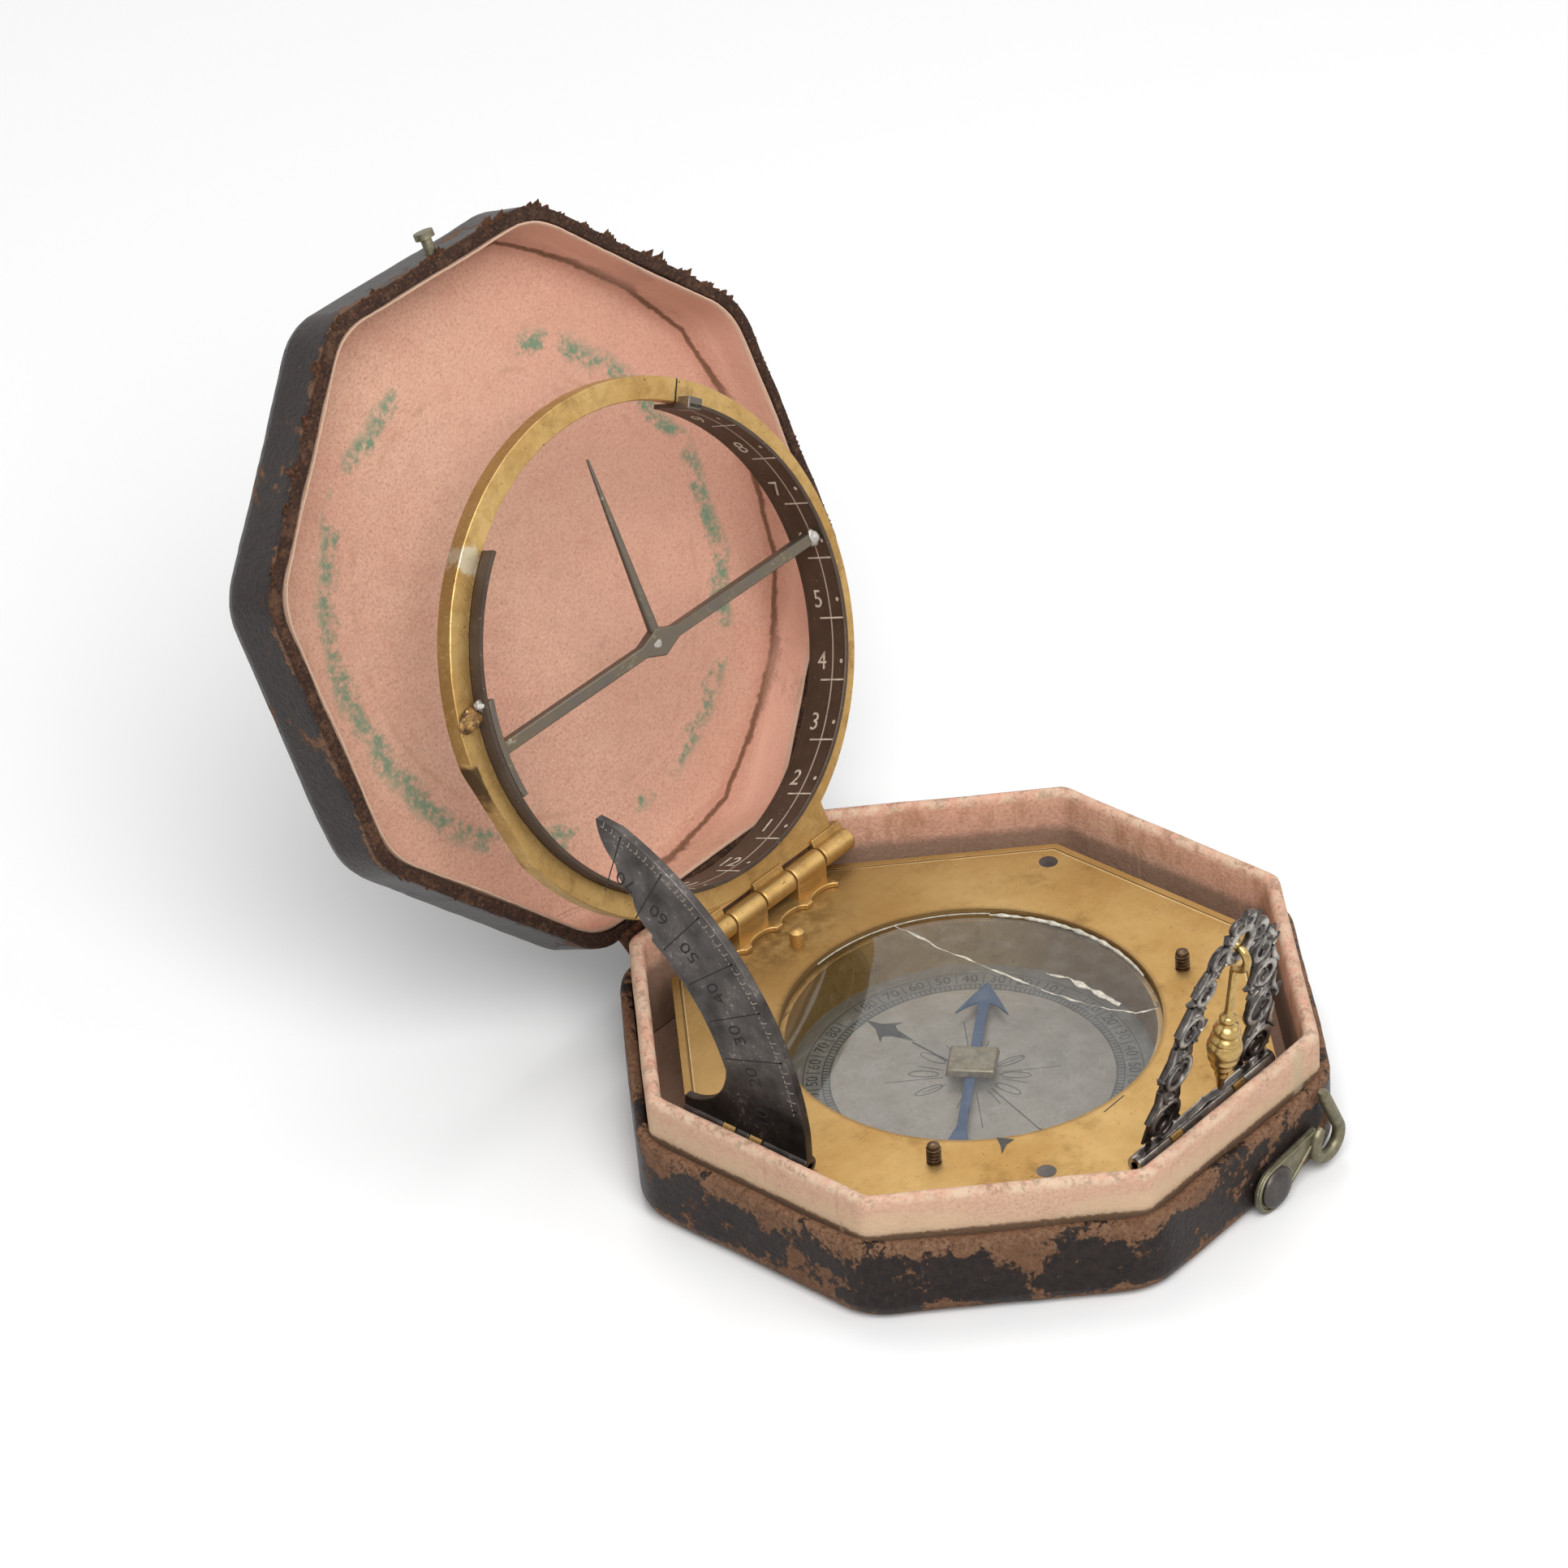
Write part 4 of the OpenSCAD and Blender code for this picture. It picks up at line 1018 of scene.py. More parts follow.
def makeLeaf():
    shapes = knuckleShapes(1, -1.0, 1.0, -2.4, 0) + knuckleShapes(3, -1.0, 1.0, -2.4, 0)
    # Front edge of the leaf, cut into cusps with small hooks
    edge = [(8.4, 0.8), (-8.0, 0.8), (-8.0, -1.6)]
    for k in range(4):
        middle = -5.9 + 4.1 * k
        edge.append((middle - 1.9, -2.0))
        for angle in range(180, -1, -20):
            edge.append((middle + 1.65 * cos(radians(angle)), -2.0 + 0.75 * sin(radians(angle))))
        edge.append((middle + 1.9, -2.0))
    shapes.append(slab(edge, -2.4, -1.9))
    addPiece("hingeLeaf", merged(*shapes), "gilt", "base", jointFrame("ring_hinge"),
             ["ring_hinge_leaf"], bevel=0.07)


makeLeaf()
print("hour ring made")


# Gnomon: flat bar with a lozenge boss, tapered pin, bearing strip and solder
def makeGnomon():
    base = ringFrame @ shifted(0, -ring["reach"] - gnomon["w"], gnomon["z"])
    half, (left, right) = gnomon["bar"] / 2, gnomon["ends"]
    barOutline = [(left, -half), (-2.1, -half * 0.95), (0, -1.3), (2.1, -half * 0.95), (right, -half),
                  (right, half), (2.1, half * 0.95), (0, 1.3), (-2.1, half * 0.95), (left, half)]
    journal = lathe([(0.0, 0), (0.3, 0), (0.3, 0.75), (0, 0.75)], 16, closed=False)
    shapes = [slab(barOutline, -half, half), alongX(journal, left - 0.5), alongX(journal, right - 0.1)]
    addPiece("gnomonBar", merged(*shapes), "gnomon", "gnomon", base, ["gnomon_bar"], bevel=0.1)
    pin = tube([(0, y, 0) for y in (-0.2, -1.3, -6, -12, -gnomon["pin"])], [0.5, 0.52, 0.42, 0.3, 0.13], 16)
    addPiece("gnomonPin", pin, "gnomon", "gnomon", base, ["gnomon_pin"])


def makeStrip():
    # The strip follows the band's inside
    verts, faces = [], [(0, 1, 3, 2), (48, 50, 51, 49)]
    for k in range(13):
        along = -5.2 + 8.9 * k / 12
        for radius in (20.96, 20.35):
            reach = -sqrt(radius * radius - along * along)
            verts += [(reach, along - ring["reach"], z) for z in (-1.05, 1.25)]
    for a in range(0, 48, 4):
        faces += [(a, a + 4, a + 5, a + 1), (a + 2, a + 3, a + 7, a + 6),
                  (a, a + 2, a + 6, a + 4), (a + 1, a + 5, a + 7, a + 3)]
    addPiece("gnomonStrip", (verts, faces), "gnomon", "hour_ring", ringFrame,
             ["gnomon_strip"], bevel=0.07)


def makeSolder():
    # Lumps on the ring's face, at the strip and at the gnomon's pivots
    middle, front = -ring["reach"], ring["front"]
    pivot, level = middle - gnomon["w"], gnomon["z"]
    solderLump("solderBlob", (-22.0, middle - 4.3, front - 0.2), (2.3, 1.5, 0.8), ["strip_block"],
               look="oldSolder")
    solderLump("whiteSolder", (-20.9, middle - 5.1, front - 0.7), (0.75, 0.8, 0.7))
    solderLump("pivotSolder", (20.35, pivot, level - 0.5), (0.95, 1.25, 0.55))
    solderLump("stripSolder", (-20.62, middle + 2.6, 1.2), (0.34, 1.0, 0.45))
    solderLump("bossSolder", (-0.5, pivot, level - 0.52), (0.85, 0.55, 0.16), body="gnomon")


def solderLump(name, at, size, replaces=(), body="hour_ring", look="solder"):
    mesh = bpy.data.meshes.new(name)
    shape = bmesh.new()
    bmesh.ops.create_icosphere(shape, subdivisions=4, radius=0.6)
    for v in shape.verts:
        swell = 1 + 0.45 * noise.noise(v.co * 1.9 + Vector(at)) + 0.12 * noise.noise(v.co * 6 + Vector(at))
        v.co = v.co * Vector(size) * swell * mm
    shape.to_mesh(mesh)
    shape.free()
    mesh.transform(ringFrame @ shifted(*at))
    piece = bpy.data.objects.new(name, mesh)
    scene.collection.objects.link(piece)
    settle(piece, look, body, replaces, 60)


makeGnomon()
makeStrip()
makeSolder()


# Latitude arc: plate cut from a circle with a cusped inner edge, foot and hinge barrel
arc = {"outer": 27.5, "inner": 19.8, "centre": (25.0, 0.7), "thick": 0.8, "tip": 76.0, "foot": (-2.4, 11.0)}


def onArc(radius, angle):
    return spun(-radius, 0, -angle, arc["centre"])


def scallop(p, q, depth, steps=10):
    # Points from p to q along a curve that dips into the plate
    (px, py), (qx, qy) = p, q
    span = hypot(qx - px, qy - py)
    nx, ny = -(qy - py) / span, (qx - px) / span
    points = []
    for t in (k / steps for k in range(1, steps)):
        dip = 4 * depth * t * (1 - t)
        points.append((px + (qx - px) * t + nx * dip, py + (qy - py) * t + ny * dip))
    return points


def arcOutline():
    foot0, foot1 = arc["foot"]
    lowAngle = degrees(atan2(4.0 - arc["centre"][1], arc["centre"][0] - foot0))
    points = [(foot0, 0)] + [onArc(arc["outer"], lowAngle - 2 + (73 - lowAngle) * k / 60) for k in range(61)]
    points.append(onArc(arc["outer"] - 0.5, arc["tip"]))
    for rise, angle, depth in ((4.0, 69.5, 0.45), (2.2, 63.0, 0.4), (0.6, 54.5, 0.5)):
        cusp = onArc(arc["inner"] + rise, angle)
        points += scallop(points[-1], cusp, depth) + [cusp]
    points += [onArc(arc["inner"], 53.6 - 36.1 * k / 40) for k in range(41)]
    points += [spun(5.0, 0, 175 + 90 * k / 12, (foot1, 6.6)) for k in range(1, 12)]
    return points + [(foot1, 1.6), (foot1, 0)]


def makeArc():
    # The outline's first axis is +Y and its second axis is up
    place = arcFrame @ Matrix(((0, 0, 1, 0), (1, 0, 0, 0), (0, 1, 0, 0), (0, 0, 0, 1)))
    half = arc["thick"] / 2
    addPiece("arcPlate", slab(arcOutline(), -half, half), "arc", "latitude_arc", place,
             ["latitude_arc"], bevel=0.07)
    shapes = [moved(barrel(low, high, 0.7, 32), turned(-90, "X"))
              for low, high in ((-2.4, 2.3), (3.9, 5.2), (6.8, 11.0))]
    addPiece("arcBarrel", merged(*shapes), "arc", "latitude_arc", arcFrame)
    makeArcMarks(place, -half - 0.012)


def makeArcMarks(place, z):
    shapes, scale = [], []
    inner, outer = arc["inner"], arc["outer"]
    for degree in range(10, 80, 10):
        shapes.append(strokeShape([onArc(inner + 0.5, degree), onArc(outer - 0.3, degree)], 0.12, z))
        middle = onArc(inner + 3.2, degree - 4.0)
        verts, faces = textShape(str(degree), 2.0, 0.015)
        shapes.append(([(*spun(-y, -x, 180 - degree, middle), z) for x, y, _ in verts], faces))
    addPiece("arcFigures", merged(*shapes), "arcMark", "latitude_arc", place, smooth=0)
    for degree in range(9, 75):
        start = onArc(outer - 0.85, degree)
        scale.append(strokeShape([start, onArc(outer - 0.85, degree + 0.5)], 0.09, z))
        if degree % 2 == 0:
            scale.append(strokeShape([start, onArc(outer - 0.2, degree)], 0.07, z))
    addPiece("arcScale", merged(*scale), "scaleMark", "latitude_arc", place, smooth=0)


def ribbon(left, right):
    n = len(left)
    return left + right, [(k, k + 1, n + k + 1, n + k) for k in range(n - 1)]


def strokeShape(points, width, z):
    # Flat ribbon along points, for an engraved line
    left, right = [], []
    for k, point in enumerate(points):
        before, after = points[max(k - 1, 0)], points[min(k + 1, len(points) - 1)]
        dx, dy = after[0] - before[0], after[1] - before[1]
        length = hypot(dx, dy)
        nx, ny = -dy / length * width / 2, dx / length * width / 2
        left.append((point[0] + nx, point[1] + ny, z))
        right.append((point[0] - nx, point[1] - ny, z))
    return ribbon(left, right)


makeArc()
print("latitude arc made")


# Plumb bracket: two legs of linked scrolls and leaves that meet in a ring
def spiral(at, radius, start, turns, thickness, side, steps=26):
    # Volute that winds inwards and swells towards its eye
    points, radii = [], []
    for k in range(steps + 1):
        t = k / steps
        x, z = spun(radius * (1 - 0.72 * t), 0, start + side * 360 * turns * t, at)
        points.append((x, 0, z))
        radii.append(thickness * (0.7 + 0.5 * sin(pi * min(1, t * 1.1))))
    return tube(points, radii, 8)


def leafShape(at, angle, length, width):
    # Pointed leaf with a raised middle
    turn = radians(angle)
    along, across = Vector((cos(turn), 0, sin(turn))), Vector((-sin(turn), 0, cos(turn)))
    verts = []
    for k in range(9):
        t = k / 8
        middle = Vector((at[0], 0, at[1])) + along * length * t
        w = width * sin(pi * min(0.98, 0.12 + 0.88 * t)) ** 0.8
        rise = 0.34 * (1 - t) + 0.12
        up = Vector((0, rise, 0))
        verts += [tuple(middle + corner) for corner in (across * w, -up, -across * w, up)]
    return verts, weave(9, 4, False)


def legScrolls():
    foot, rise = bracket["half"], bracket["apex"] / 20
    return [((foot - 2.8, 3.6 * rise), 2.75 * rise, 100), ((foot - 3.5, 8.5 * rise), 2.55 * rise, 250),
            ((foot - 4.2, 12.9 * rise), 2.25 * rise, 80), ((foot - 5.25, 16.7 * rise), 1.95 * rise, 230),
            ((foot - 6.6, 19.7 * rise), 1.75 * rise, 110)]


def legShapes():
    shapes = []
    scrolls = legScrolls()
    for index, (at, radius, eye) in enumerate(scrolls):
        side = 1 if index % 2 else -1
        shapes.append(spiral(at, radius - 0.34, eye + 150, 1.35, 0.34, side))
        shapes.append(spiral((at[0] - 0.1, at[1] + 0.1), radius - 0.75, eye + 20, 0.9, 0.24, -side))
        for angle in (eye + 120, eye + 165, eye + 210):
            shapes.append(leafShape(spun(radius - 0.7, 0, angle, at), angle + 35 * side, 1.25, 0.42))
    # Leaves and a stem between one scroll and the next
    for ((ax, az), ra, _), ((bx, bz), rb, _) in zip(scrolls, scrolls[1:]):
        x, z = (ax + bx) / 2, (az + bz) / 2
        for dx, dz, angle, length, width in ((-0.4, -0.2, 25, 2.0, 0.7), (0.4, 0.2, 195, 1.9, 0.65),
                                             (0.2, -0.7, 60, 1.9, 0.55), (-0.3, 0.7, 240, 1.8, 0.5)):
            shapes.append(leafShape((x + dx, z + dz), angle, length, width))
        stem = [(ax + ra * 0.8, 0, az + ra * 0.3), (x + 1.35, 0, z), (bx + rb * 0.75, 0, bz - rb * 0.3)]
        shapes.append(tube(stem, [0.3, 0.4, 0.3], 8))
    # Pierced plate behind the scrolls, widest at each one
    left, right = [], []
    for (x, z), radius, _ in scrolls:
        for step, share in ((-0.55, 0.62), (0.0, 0.72), (0.55, 0.62)):
            middle = x - 0.35 * radius * step
            left.append((middle + radius * share, z + step * radius))
            right.append((middle - radius * share, z + step * radius))
    shapes.append(standing(slab(left + right[::-1], -0.22, 0.02)))
    most = bracket["thick"] / 2 - 0.03
    return [([(x, max(-most, min(most, y)), z) for x, y, z in verts], faces) for verts, faces in shapes]


def mirrored(shape):
    return [(-x, y, z) for x, y, z in shape[0]], shape[1]


def makeBracket():
    right, apex = legShapes(), bracket["apex"]
    shapes = right + [mirrored(shape) for shape in right]
    rim = [spun(0.55, 0, 30 * k, (1.6, 0)) for k in range(12)]
    eye = lathe([(x, y * 0.40 / 0.55) for x, y in rim], 48)
    shapes.append(standing(eye, apex))
    for side in (1, -1):
        shapes.append(spiral((0.75 * side, apex + 2.3), 0.85, 90 + 90 * side, 1.1, 0.3, side, 16))
        shapes.append(leafShape((1.6 * side, apex + 0.9), 90 - 30 * side, 1.6, 0.5))
    shapes.append(leafShape((0, apex + 2.0), 90, 1.6, 0.6))
    for low, high in ((-9.25, -5.15), (-3.45, 3.45), (5.15, 9.25)):
        shapes.append(alongX(barrel(low, high, 0.72, 28)))
    half = [(8.9, 0.5), (8.4, 1.2), (5.2, 0.95), (2.4, 0.9), (0.9, 1.05)]
    foot = [(-8.9, 0.5)] + half + [(0.0, 1.35)] + [(-x, z) for x, z in half[:0:-1]]
    shapes.append(standing(slab(foot, -0.35, 0.35)))
    addPiece("scrolledBracket", merged(*shapes), "scrolls", "plumb_bracket", bracketFrame,
             ["plumb_bracket"], smooth=50)


makeBracket()


# Plumb bob: turned drop on a shank with a bent hook
bob = {"length": 13.4, "hook": 1.15, "wire": 0.38, "radius": 1.7, "slim": 0.9}


def makeBob():
    r, length = bob["radius"], bob["length"]
    low = -bob["hook"] - length
    beads = [(0.0, 0), (0.22, 0.04), (0.36, 0.5), (0.42, 1.1), (0.58, 1.45), (0.66, 1.7), (0.56, 1.95),
             (0.72, 2.2), (1.0, 2.45), (1.12, 2.7), (1.05, 2.95), (1.18, 3.15), (1.42, 3.4),
             (1.5, 3.65), (1.42, 3.85), (1.6, 4.15), (r, 4.6), (r - 0.02, 5.0), (1.55, 5.3),
             (1.42, 5.45), (1.5, 5.6), (1.45, 5.8), (1.2, 6.0), (1.08, 6.15), (1.22, 6.35), (1.3, 6.65),
             (1.18, 6.95), (0.92, 7.15), (0.74, 7.3), (0.68, 7.5), (0.82, 7.7), (0.84, 7.95),
             (0.66, 8.15), (0.46, 8.3), (0.40, 8.6), (0.36, 9.4), (0.36, length - 0.3),
             (0.34, length + 0.15)]
    turnedBeads = [(a * (bob["slim"] if b < 8.4 else 1.0), low + b) for a, b in beads]
    addPiece("turnedBob", lathe(turnedBeads, 48, closed=False), "giltBob", "plumb_bob", bobFrame,
             ["plumb_bob"], smooth=50)
    points = [(0, 0, -bob["hook"] - 0.6), (0, 0, -bob["hook"])]
    points += [(0, *spun(bob["hook"], 0, -90 - 232 * k / 18)) for k in range(1, 19)]
    radii = [bob["wire"]] * (len(points) - 4) + [0.33, 0.3, 0.26, 0.2]
    addPiece("bobHookWire", tube(points, radii, 16), "giltBob", "plumb_bob", bobFrame, ["bob_hook"])


makeBob()
print("bracket and bob made")


# Screw ends with thread ridges
screws = {"radius": 0.62, "inset": 0.65, "low": 7.0, "threadAt": 8.2, "pitch": 0.34, "top": 9.95}


def makeScrews():
    r, high, z = screws["radius"], screws["top"], screws["threadAt"]
    profile = [(0, screws["low"]), (r, screws["low"]), (r, z - 0.05)]
    while z < high - 0.5:
        profile += [(r - 0.2, z), (r + 0.02, z + 0.13), (r + 0.02, z + 0.2), (r - 0.2, z + 0.3)]
        z += screws["pitch"]
    profile += [(r - 0.05, z + 0.04), (r - 0.11, high - 0.16), (r - 0.3, high - 0.04), (0, high)]
    # Both stand on one circle round the window
    lowCorner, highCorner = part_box("compass_screws")
    left, right = lowCorner.x / mm + screws["inset"], highCorner.x / mm - screws["inset"]
    circle = -left / cos(radians(30))
    screw = lathe(profile, 24, closed=False)
    ends = [(x, -sqrt(circle * circle - x * x), 0) for x in (left, right)]
    shapes = [moved(screw, Matrix.Translation(end)) for end in ends]
    addPiece("threadedEnds", merged(*shapes), "brassScrew", "base",
             replaces=["compass_screws"], smooth=35)


makeScrews()


# Compass: figures and ladder on the dial, engraved arrow, rays and flourishes
arrow = {"head": [(0.6, 12.5), (1.0, 11.0), (2.3, 9.6), (1.5, 9.9), (1.1, 9.3), (0.75, 7.0), (0.1, 9.2),
                  (-0.4, 9.8), (-1.2, 9.4), (0.1, 11.0)],
         "tail": [(-2.6, -9.3), (-2.25, -10.0), (-2.5, -10.8), (-3.0, -11.1), (-3.4, -10.5), (-3.2, -9.8)]}


def makeDialMarks():
    z = dial["top"] + 0.012
    shapes = []
    for quarter in range(4):
        for number in range(10, 90, 10):
            angle = 90 * quarter + (number if quarter % 2 == 0 else 90 - number)
            middle = spun(dial["figures"], 0, angle)
            verts, faces = textShape(str(number), 1.5, 0.01)
            shapes.append(([(*spun(x, y, angle - 90, middle), z) for x, y, _ in verts], faces))
    for k in range(16):
        if k % 4:
            far = 7.6 if k % 4 == 2 else 4.9
            shapes.append(strokeShape([spun(2.6, 0, 22.5 * k), spun(far, 0, 22.5 * k)], 0.08, z))
    shapes.append(strokeShape([(0.2, 2.4), (0.5, 7.2)], 0.2, z))
    shapes.append(flatShape(arrow["head"], z))
    shapes.append(strokeShape([(-0.6, -2.5), (-2.8, -9.9)], 0.11, z))
    shapes.append(flatShape(arrow["tail"], z))
    # Flourishes on both sides of the cap
    for at, reach in ((125, 5.6), (305, 5.0)):
        for lean in (-32, 0, 32):
            loop = [spun(1.3, 0, 22.5 * k) for k in range(17)]
            petal = [spun(reach - 1.3 + x, y * 0.42 / 1.3, at + lean) for x, y in loop]
            shapes.append(strokeShape(petal, 0.1, z))
    addPiece("dialEngraving", merged(*shapes), "dialMark", "base", smooth=0)
    low = dial["top"] + 0.01
    for name, count, radius, first, length in (("dialLadder", 180, 12.75, 0, 0.6),
                                               ("dialTens", 36, dial["figures"], 5, 1.3)):
        ticks(name, "base", worldFrame, count, radius, first, 360 / count,
              (length, 0.09, 0.01), low, "dialMark")


crackLines = {"glass": 7.5, "cement": (-28, 33),
              "streak": [(9.7, -0.6), (10.3, -2.4), (10.1, -5.6), (9.9, -8.5)],
              "crack": [(7.5, 14.8), (7.5, 12.1), (7.2, 9.1), (7.4, 6.1), (7.5, 3.0), (7.6, -0.1),
                        (7.8, -3.0), (8.3, -6.2), (8.9, -8.3), (9.8, -10.3), (11.3, -11.4)]}


def crackRibbon(path, thin, thick, z, seed):
    # Uneven ribbon along a path on the glass
    points = []
    for (ax, ay), (bx, by) in zip(path, path[1:]):
        for k in range(8):
            t = k / 8
            wander = 0.16 * noise.noise(Vector((ax + t * 3, ay * 1.3 + t * 2, seed)))
            points.append((ax + (bx - ax) * t + wander, ay + (by - ay) * t + wander * 0.6))
    points.append(path[-1])
    left, right = [], []
    for k, (x, y) in enumerate(points):
        uneven = max(0.0, noise.noise(Vector((x * 0.9, y * 0.55, seed + 4))) + 0.25)
        width = thin + (thick - thin) * min(1.0, uneven * 1.6)
        left.append((x + width / 2, y + width * 0.1, z))
        right.append((x - width / 2, y - width * 0.1, z))
    return ribbon(left, right)


def makeCrack():
    # Cracked glass, and the white cement left along the window's edge
    glass, (low, high) = crackLines["glass"], crackLines["cement"]
    shapes = [crackRibbon(crackLines["crack"], 0.04, 0.30, glass + 0.005, 1),
              crackRibbon(crackLines["streak"], 0.10, 1.0, glass + 0.006, 8)]
    bead, radii = [], []
    for k in range(90):
        lump = 0.5 + 0.8 * noise.noise(Vector((k * 0.21, 2, 2)))
        bead.append((*spun(16.22, 0, low + (high - low) * k / 89), glass + 0.02))
        radii.append(0.05 + 0.27 * max(0.05, lump) * sin(pi * (k + 1) / 91) ** 0.4)
    shapes.append(tube(bead, radii, 8))
    shapes.append(tube([(*spun(16.42, 0, angle), glass + 0.03) for angle in range(33, 95, 2)], 0.06, 6))
    addPiece("crackAndCement", merged(*shapes), "cement", "base", smooth=60)


makeDialMarks()
makeCrack()


def needleShape():
    # Along the needle: arrow head with swept barbs, slim shaft and a split tail
    edge = [(9.8, 1.15), (7.3, 2.35), (8.5, 1.25), (8.9, 0.55), (7.4, 0.45), (1.6, 0.45), (1.0, 1.2),
            (-1.0, 1.2), (-1.6, 0.45)]
    tail = [(-8.6, 0.4), (-11.3, 1.15), (-10.7, 0.1), (-11.3, -0.95), (-8.6, -0.4)]
    return slab([(11.95, 0.0)] + edge + tail + [(x, -y) for x, y in edge[::-1]], 0, 0.25)


def makeNeedle():
    place = jointFrame("needle_spin") @ turned(32.6, "Z")
    place.translation.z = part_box("compass_needle")[0].z
    addPiece("blueNeedle", needleShape(), "needle", "needle", place, ["compass_needle"], bevel=0.05)
    # The cap tapers a little towards its top
    verts = [(x * w, y * l, z) for w, l, z in ((1.95, 2.2, 0.25), (1.755, 2.024, 0.87))
             for x, y in ((-1, -1), (1, -1), (1, 1), (-1, 1))]
    addPiece("needleCap", (verts, weave(2, 4, False)), "cap", "needle", place, ["needle_cap"],
             bevel=0.12, steps=3)


makeNeedle()
print("compass made")


# Catch: tapering plate with a hollowed face, oval-headed rivet and a bent wire
def makeCatch():
    place = shifted(2.8, -29.5, 2.3) @ turned(90, "X")
    lean, edge = 20, 0.78
    outline = [spun(2.15, 0, 100 + 200 * k / 19, (-0.3, -0.1)) for k in range(20)]
    outline += [spun(6.3, -0.5, lean), spun(6.3, 0.5, lean)]
    addPiece("catchPlate", slab(outline, 0.27, 0.75), "catch", "catch", place, ["catch_hook"],
             bevel=0.14, steps=3)
    rim = [spun(1.98, 0, 100 + 10 * k, (-0.28, -0.08)) for k in range(21)]
    rim += [spun(5.9, -0.45, lean), spun(6.05, 0, lean), spun(5.9, 0.45, lean), rim[0]]
    bead = tube([(x, y, edge) for x, y in rim], 0.17, 8)
    addPiece("catchRim", bead, "catch", "catch", place, smooth=60)
    wire = [(*spun(1.7, 0, 118 + 273 * k / 23, (7.1, 0.7)), 0.85) for k in range(24)]
    last = Vector(wire[-1])
    ahead = (last - Vector(wire[-2])).normalized()
    wire += [tuple(last + ahead * d) for d in (1.2, 2.4, 3.6, 4.6, 4.95)]
    radii = [0.42, 0.5] + [0.58] * (len(wire) - 4) + [0.5, 0.3]
    addPiece("catchWire", tube(wire, radii, 16), "catch", "catch", place)
    head = [(0, 1.5), (0.9, 1.47), (1.5, 1.35), (1.85, 1.12), (1.9, 0.95), (1.8, 0.84), (0.6, 0.82),
            (0.6, -0.5), (0, -0.5)]
    addPiece("catchRivetHead", lathe(head, 40, closed=False), "darkMetal", "base", place,
             ["catch_rivet"], smooth=50)


makeCatch()


# Torn flakes of leather along the lid's rim, longest at its far edge
fringe = {"flakes": 760, "longest": 1.35, "seed": 4.0, "lowSide": 0.55}


def makeFringe():
    shapes = []
    h = lid["half"]
    rim = [q for q in octagonOutline(h - 0.25, 6.5, 40) if q.y < 0.62 * h]
    for k in range(fringe["flakes"]):
        spot = rim[int(len(rim) * k / fringe["flakes"])]
        out = spot.normalized()
        along = Vector((-out.y, out.x))
        clump = max(0.0, noise.noise(Vector((k * 0.11, fringe["seed"], 1.0))) + 0.12)
        ragged = 0.5 + noise.noise(Vector((k * 2.7, 3.0, fringe["seed"])))
        size = 0.12 + fringe["longest"] * min(1.0, 1.7 * clump * max(0.1, ragged))
        size *= 1.0 if spot.y < -0.42 * h else fringe["lowSide"]
        lean = 0.7 * noise.noise(Vector((k * 2.3, 9.0, 4.0)))
        low = 0.15 + 0.9 * abs(noise.noise(Vector((k * 3.1, 1.0, 8.0))))
        foot = spot - out * 0.1
        tip = spot + out * size + along * lean
        bulge = spot + out * size * 0.55 - along * 0.25
        points = [foot - along * 0.42, foot + along * 0.42, tip, bulge, foot]
        heights = (low, low + 0.1, low - 0.12, low + 0.3, low + 0.5)
        shapes.append(([(max(0.02 - h, min(h - 0.02, q.x)), q.y - h, z) for q, z in zip(points, heights)],
                       [(0, 1, 2), (1, 4, 2), (4, 3, 2), (3, 0, 2), (0, 3, 4), (0, 4, 1)]))
    addPiece("tornFringe", merged(*shapes), "tornLeather", "lid", lidFrame, smooth=0)


makeFringe()


# CAD nodes that keep their own shape get their finish here
nodeFinish = {
    "collarPaper": ("base_floor_lining",),
    "tornLeather": ("leather_hinge",),
    "catch": ("lid_stud",),
    "plate": ("base_plate",),
    "gilt": ("compass_box", "needle_pivot", "domed_stud", "ring_hinge_pin", "arc_hinge_leaf",
             "bracket_hinge_leaf"),
    "dial": ("compass_dial",),
    "glass": ("compass_glass",),
    "darkMetal": ("flush_rivets",),
    "arc": ("arc_hinge_pin", "bracket_hinge_pin"),
}
for look, nodeNames in nodeFinish.items():
    for nodeName in nodeNames:
        mesh = cadNodes[nodeName].data
        mesh.materials.clear()
        mesh.materials.append(finish[look])
print("nodes finished")


# Index mark on the plate at the window's front edge
def makeIndexMark():
    z = case["top"] + 0.012
    mark = [(-11.3, -11.9), (-10.6, -13.3), (-11.6, -13.2), (-12.8, -13.7), (-12.0, -12.9)]
    stroke = strokeShape([(-3.3, -17.05), (-0.5, -17.0)], 0.12, z)
    addPiece("indexMark", merged(flatShape(mark, z), stroke), "blackMark", "base", smooth=0)


makeIndexMark()


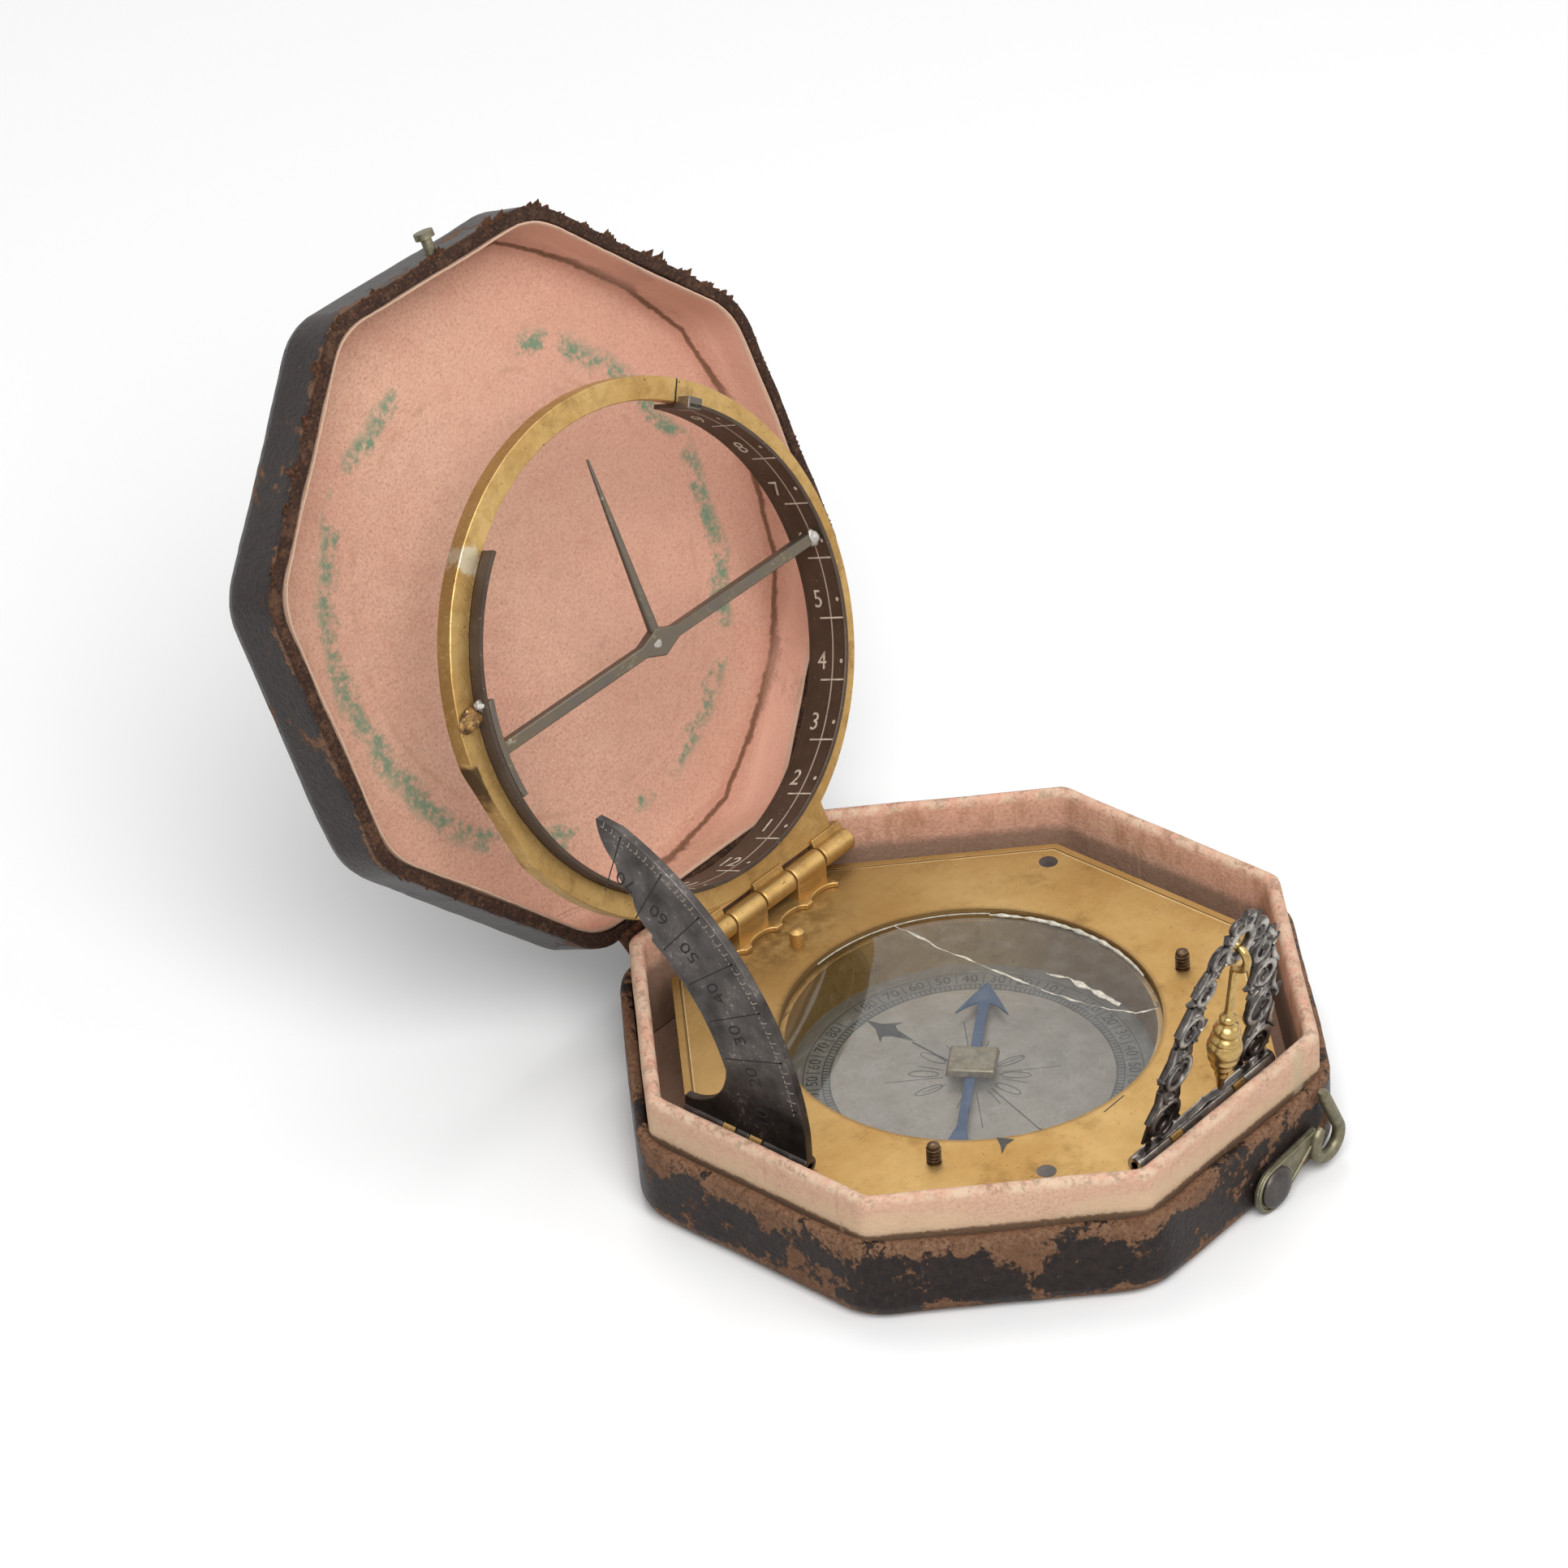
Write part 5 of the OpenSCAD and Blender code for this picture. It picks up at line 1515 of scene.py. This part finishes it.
# Studio: white ground and sky to the camera, soft lamps
studio = {"floorSize": 3.0, "floorColour": (0.76, 0.76, 0.76), "sky": 0.38, "lamps": {
    "keyLamp": {"place": (-0.3, -0.38, 0.62), "size": 0.6, "power": 6.6},
    "fillLamp": {"place": (0.55, -0.5, 0.5), "size": 0.8, "power": 1.5},
    "topLamp": {"place": (0.22, 0.3, 0.8), "size": 0.45, "power": 2.4}}}


def whiteToCamera(tree):
    # 1 where the camera, a mirror or glass looks
    nodes, link = tree.nodes, tree.links.new
    path = nodes.new("ShaderNodeLightPath")
    seen = path.outputs["Is Camera Ray"]
    for name in ("Is Glossy Ray", "Is Transmission Ray"):
        either = nodes.new("ShaderNodeMath")
        either.operation = "MAXIMUM"
        link(seen, either.inputs[0])
        link(path.outputs[name], either.inputs[1])
        seen = either.outputs[0]
    return seen


def makeStudio():
    world = bpy.data.worlds.new("studioSky")
    scene.world = world
    world.use_nodes = True
    tree = world.node_tree
    tree.nodes.clear()
    mix, out = tree.nodes.new("ShaderNodeMixShader"), tree.nodes.new("ShaderNodeOutputWorld")
    tree.links.new(whiteToCamera(tree), mix.inputs[0])
    for slot, strength in ((1, studio["sky"]), (2, 1.0)):
        light = tree.nodes.new("ShaderNodeBackground")
        light.inputs["Color"].default_value = (1, 1, 1, 1)
        light.inputs["Strength"].default_value = strength
        tree.links.new(light.outputs[0], mix.inputs[slot])
    tree.links.new(mix.outputs[0], out.inputs[0])
    mesh = bpy.data.meshes.new("paleFloor")
    h = studio["floorSize"] / 2
    mesh.from_pydata([(-h, -h, 0), (h, -h, 0), (h, h, 0), (-h, h, 0)], [], [(0, 1, 2, 3)])
    floor = bpy.data.objects.new("paleFloor", mesh)
    scene.collection.objects.link(floor)
    p = Paint("paleFloorPaint", roughness=0.9)
    p.colour = studio["floorColour"]
    mesh.materials.append(p.finish())
    for name, lampLook in studio["lamps"].items():
        data = bpy.data.lights.new(name, "AREA")
        data.shape, data.size, data.energy = "DISK", lampLook["size"], lampLook["power"]
        lamp = bpy.data.objects.new(name, data)
        scene.collection.objects.link(lamp)
        lamp.location = lampLook["place"]
        lamp.rotation_euler = (Vector((0, 0, 0.02)) - lamp.location).to_track_quat("-Z", "Y").to_euler()


makeStudio()
scene.view_settings.view_transform = "Standard"

print("scene made")
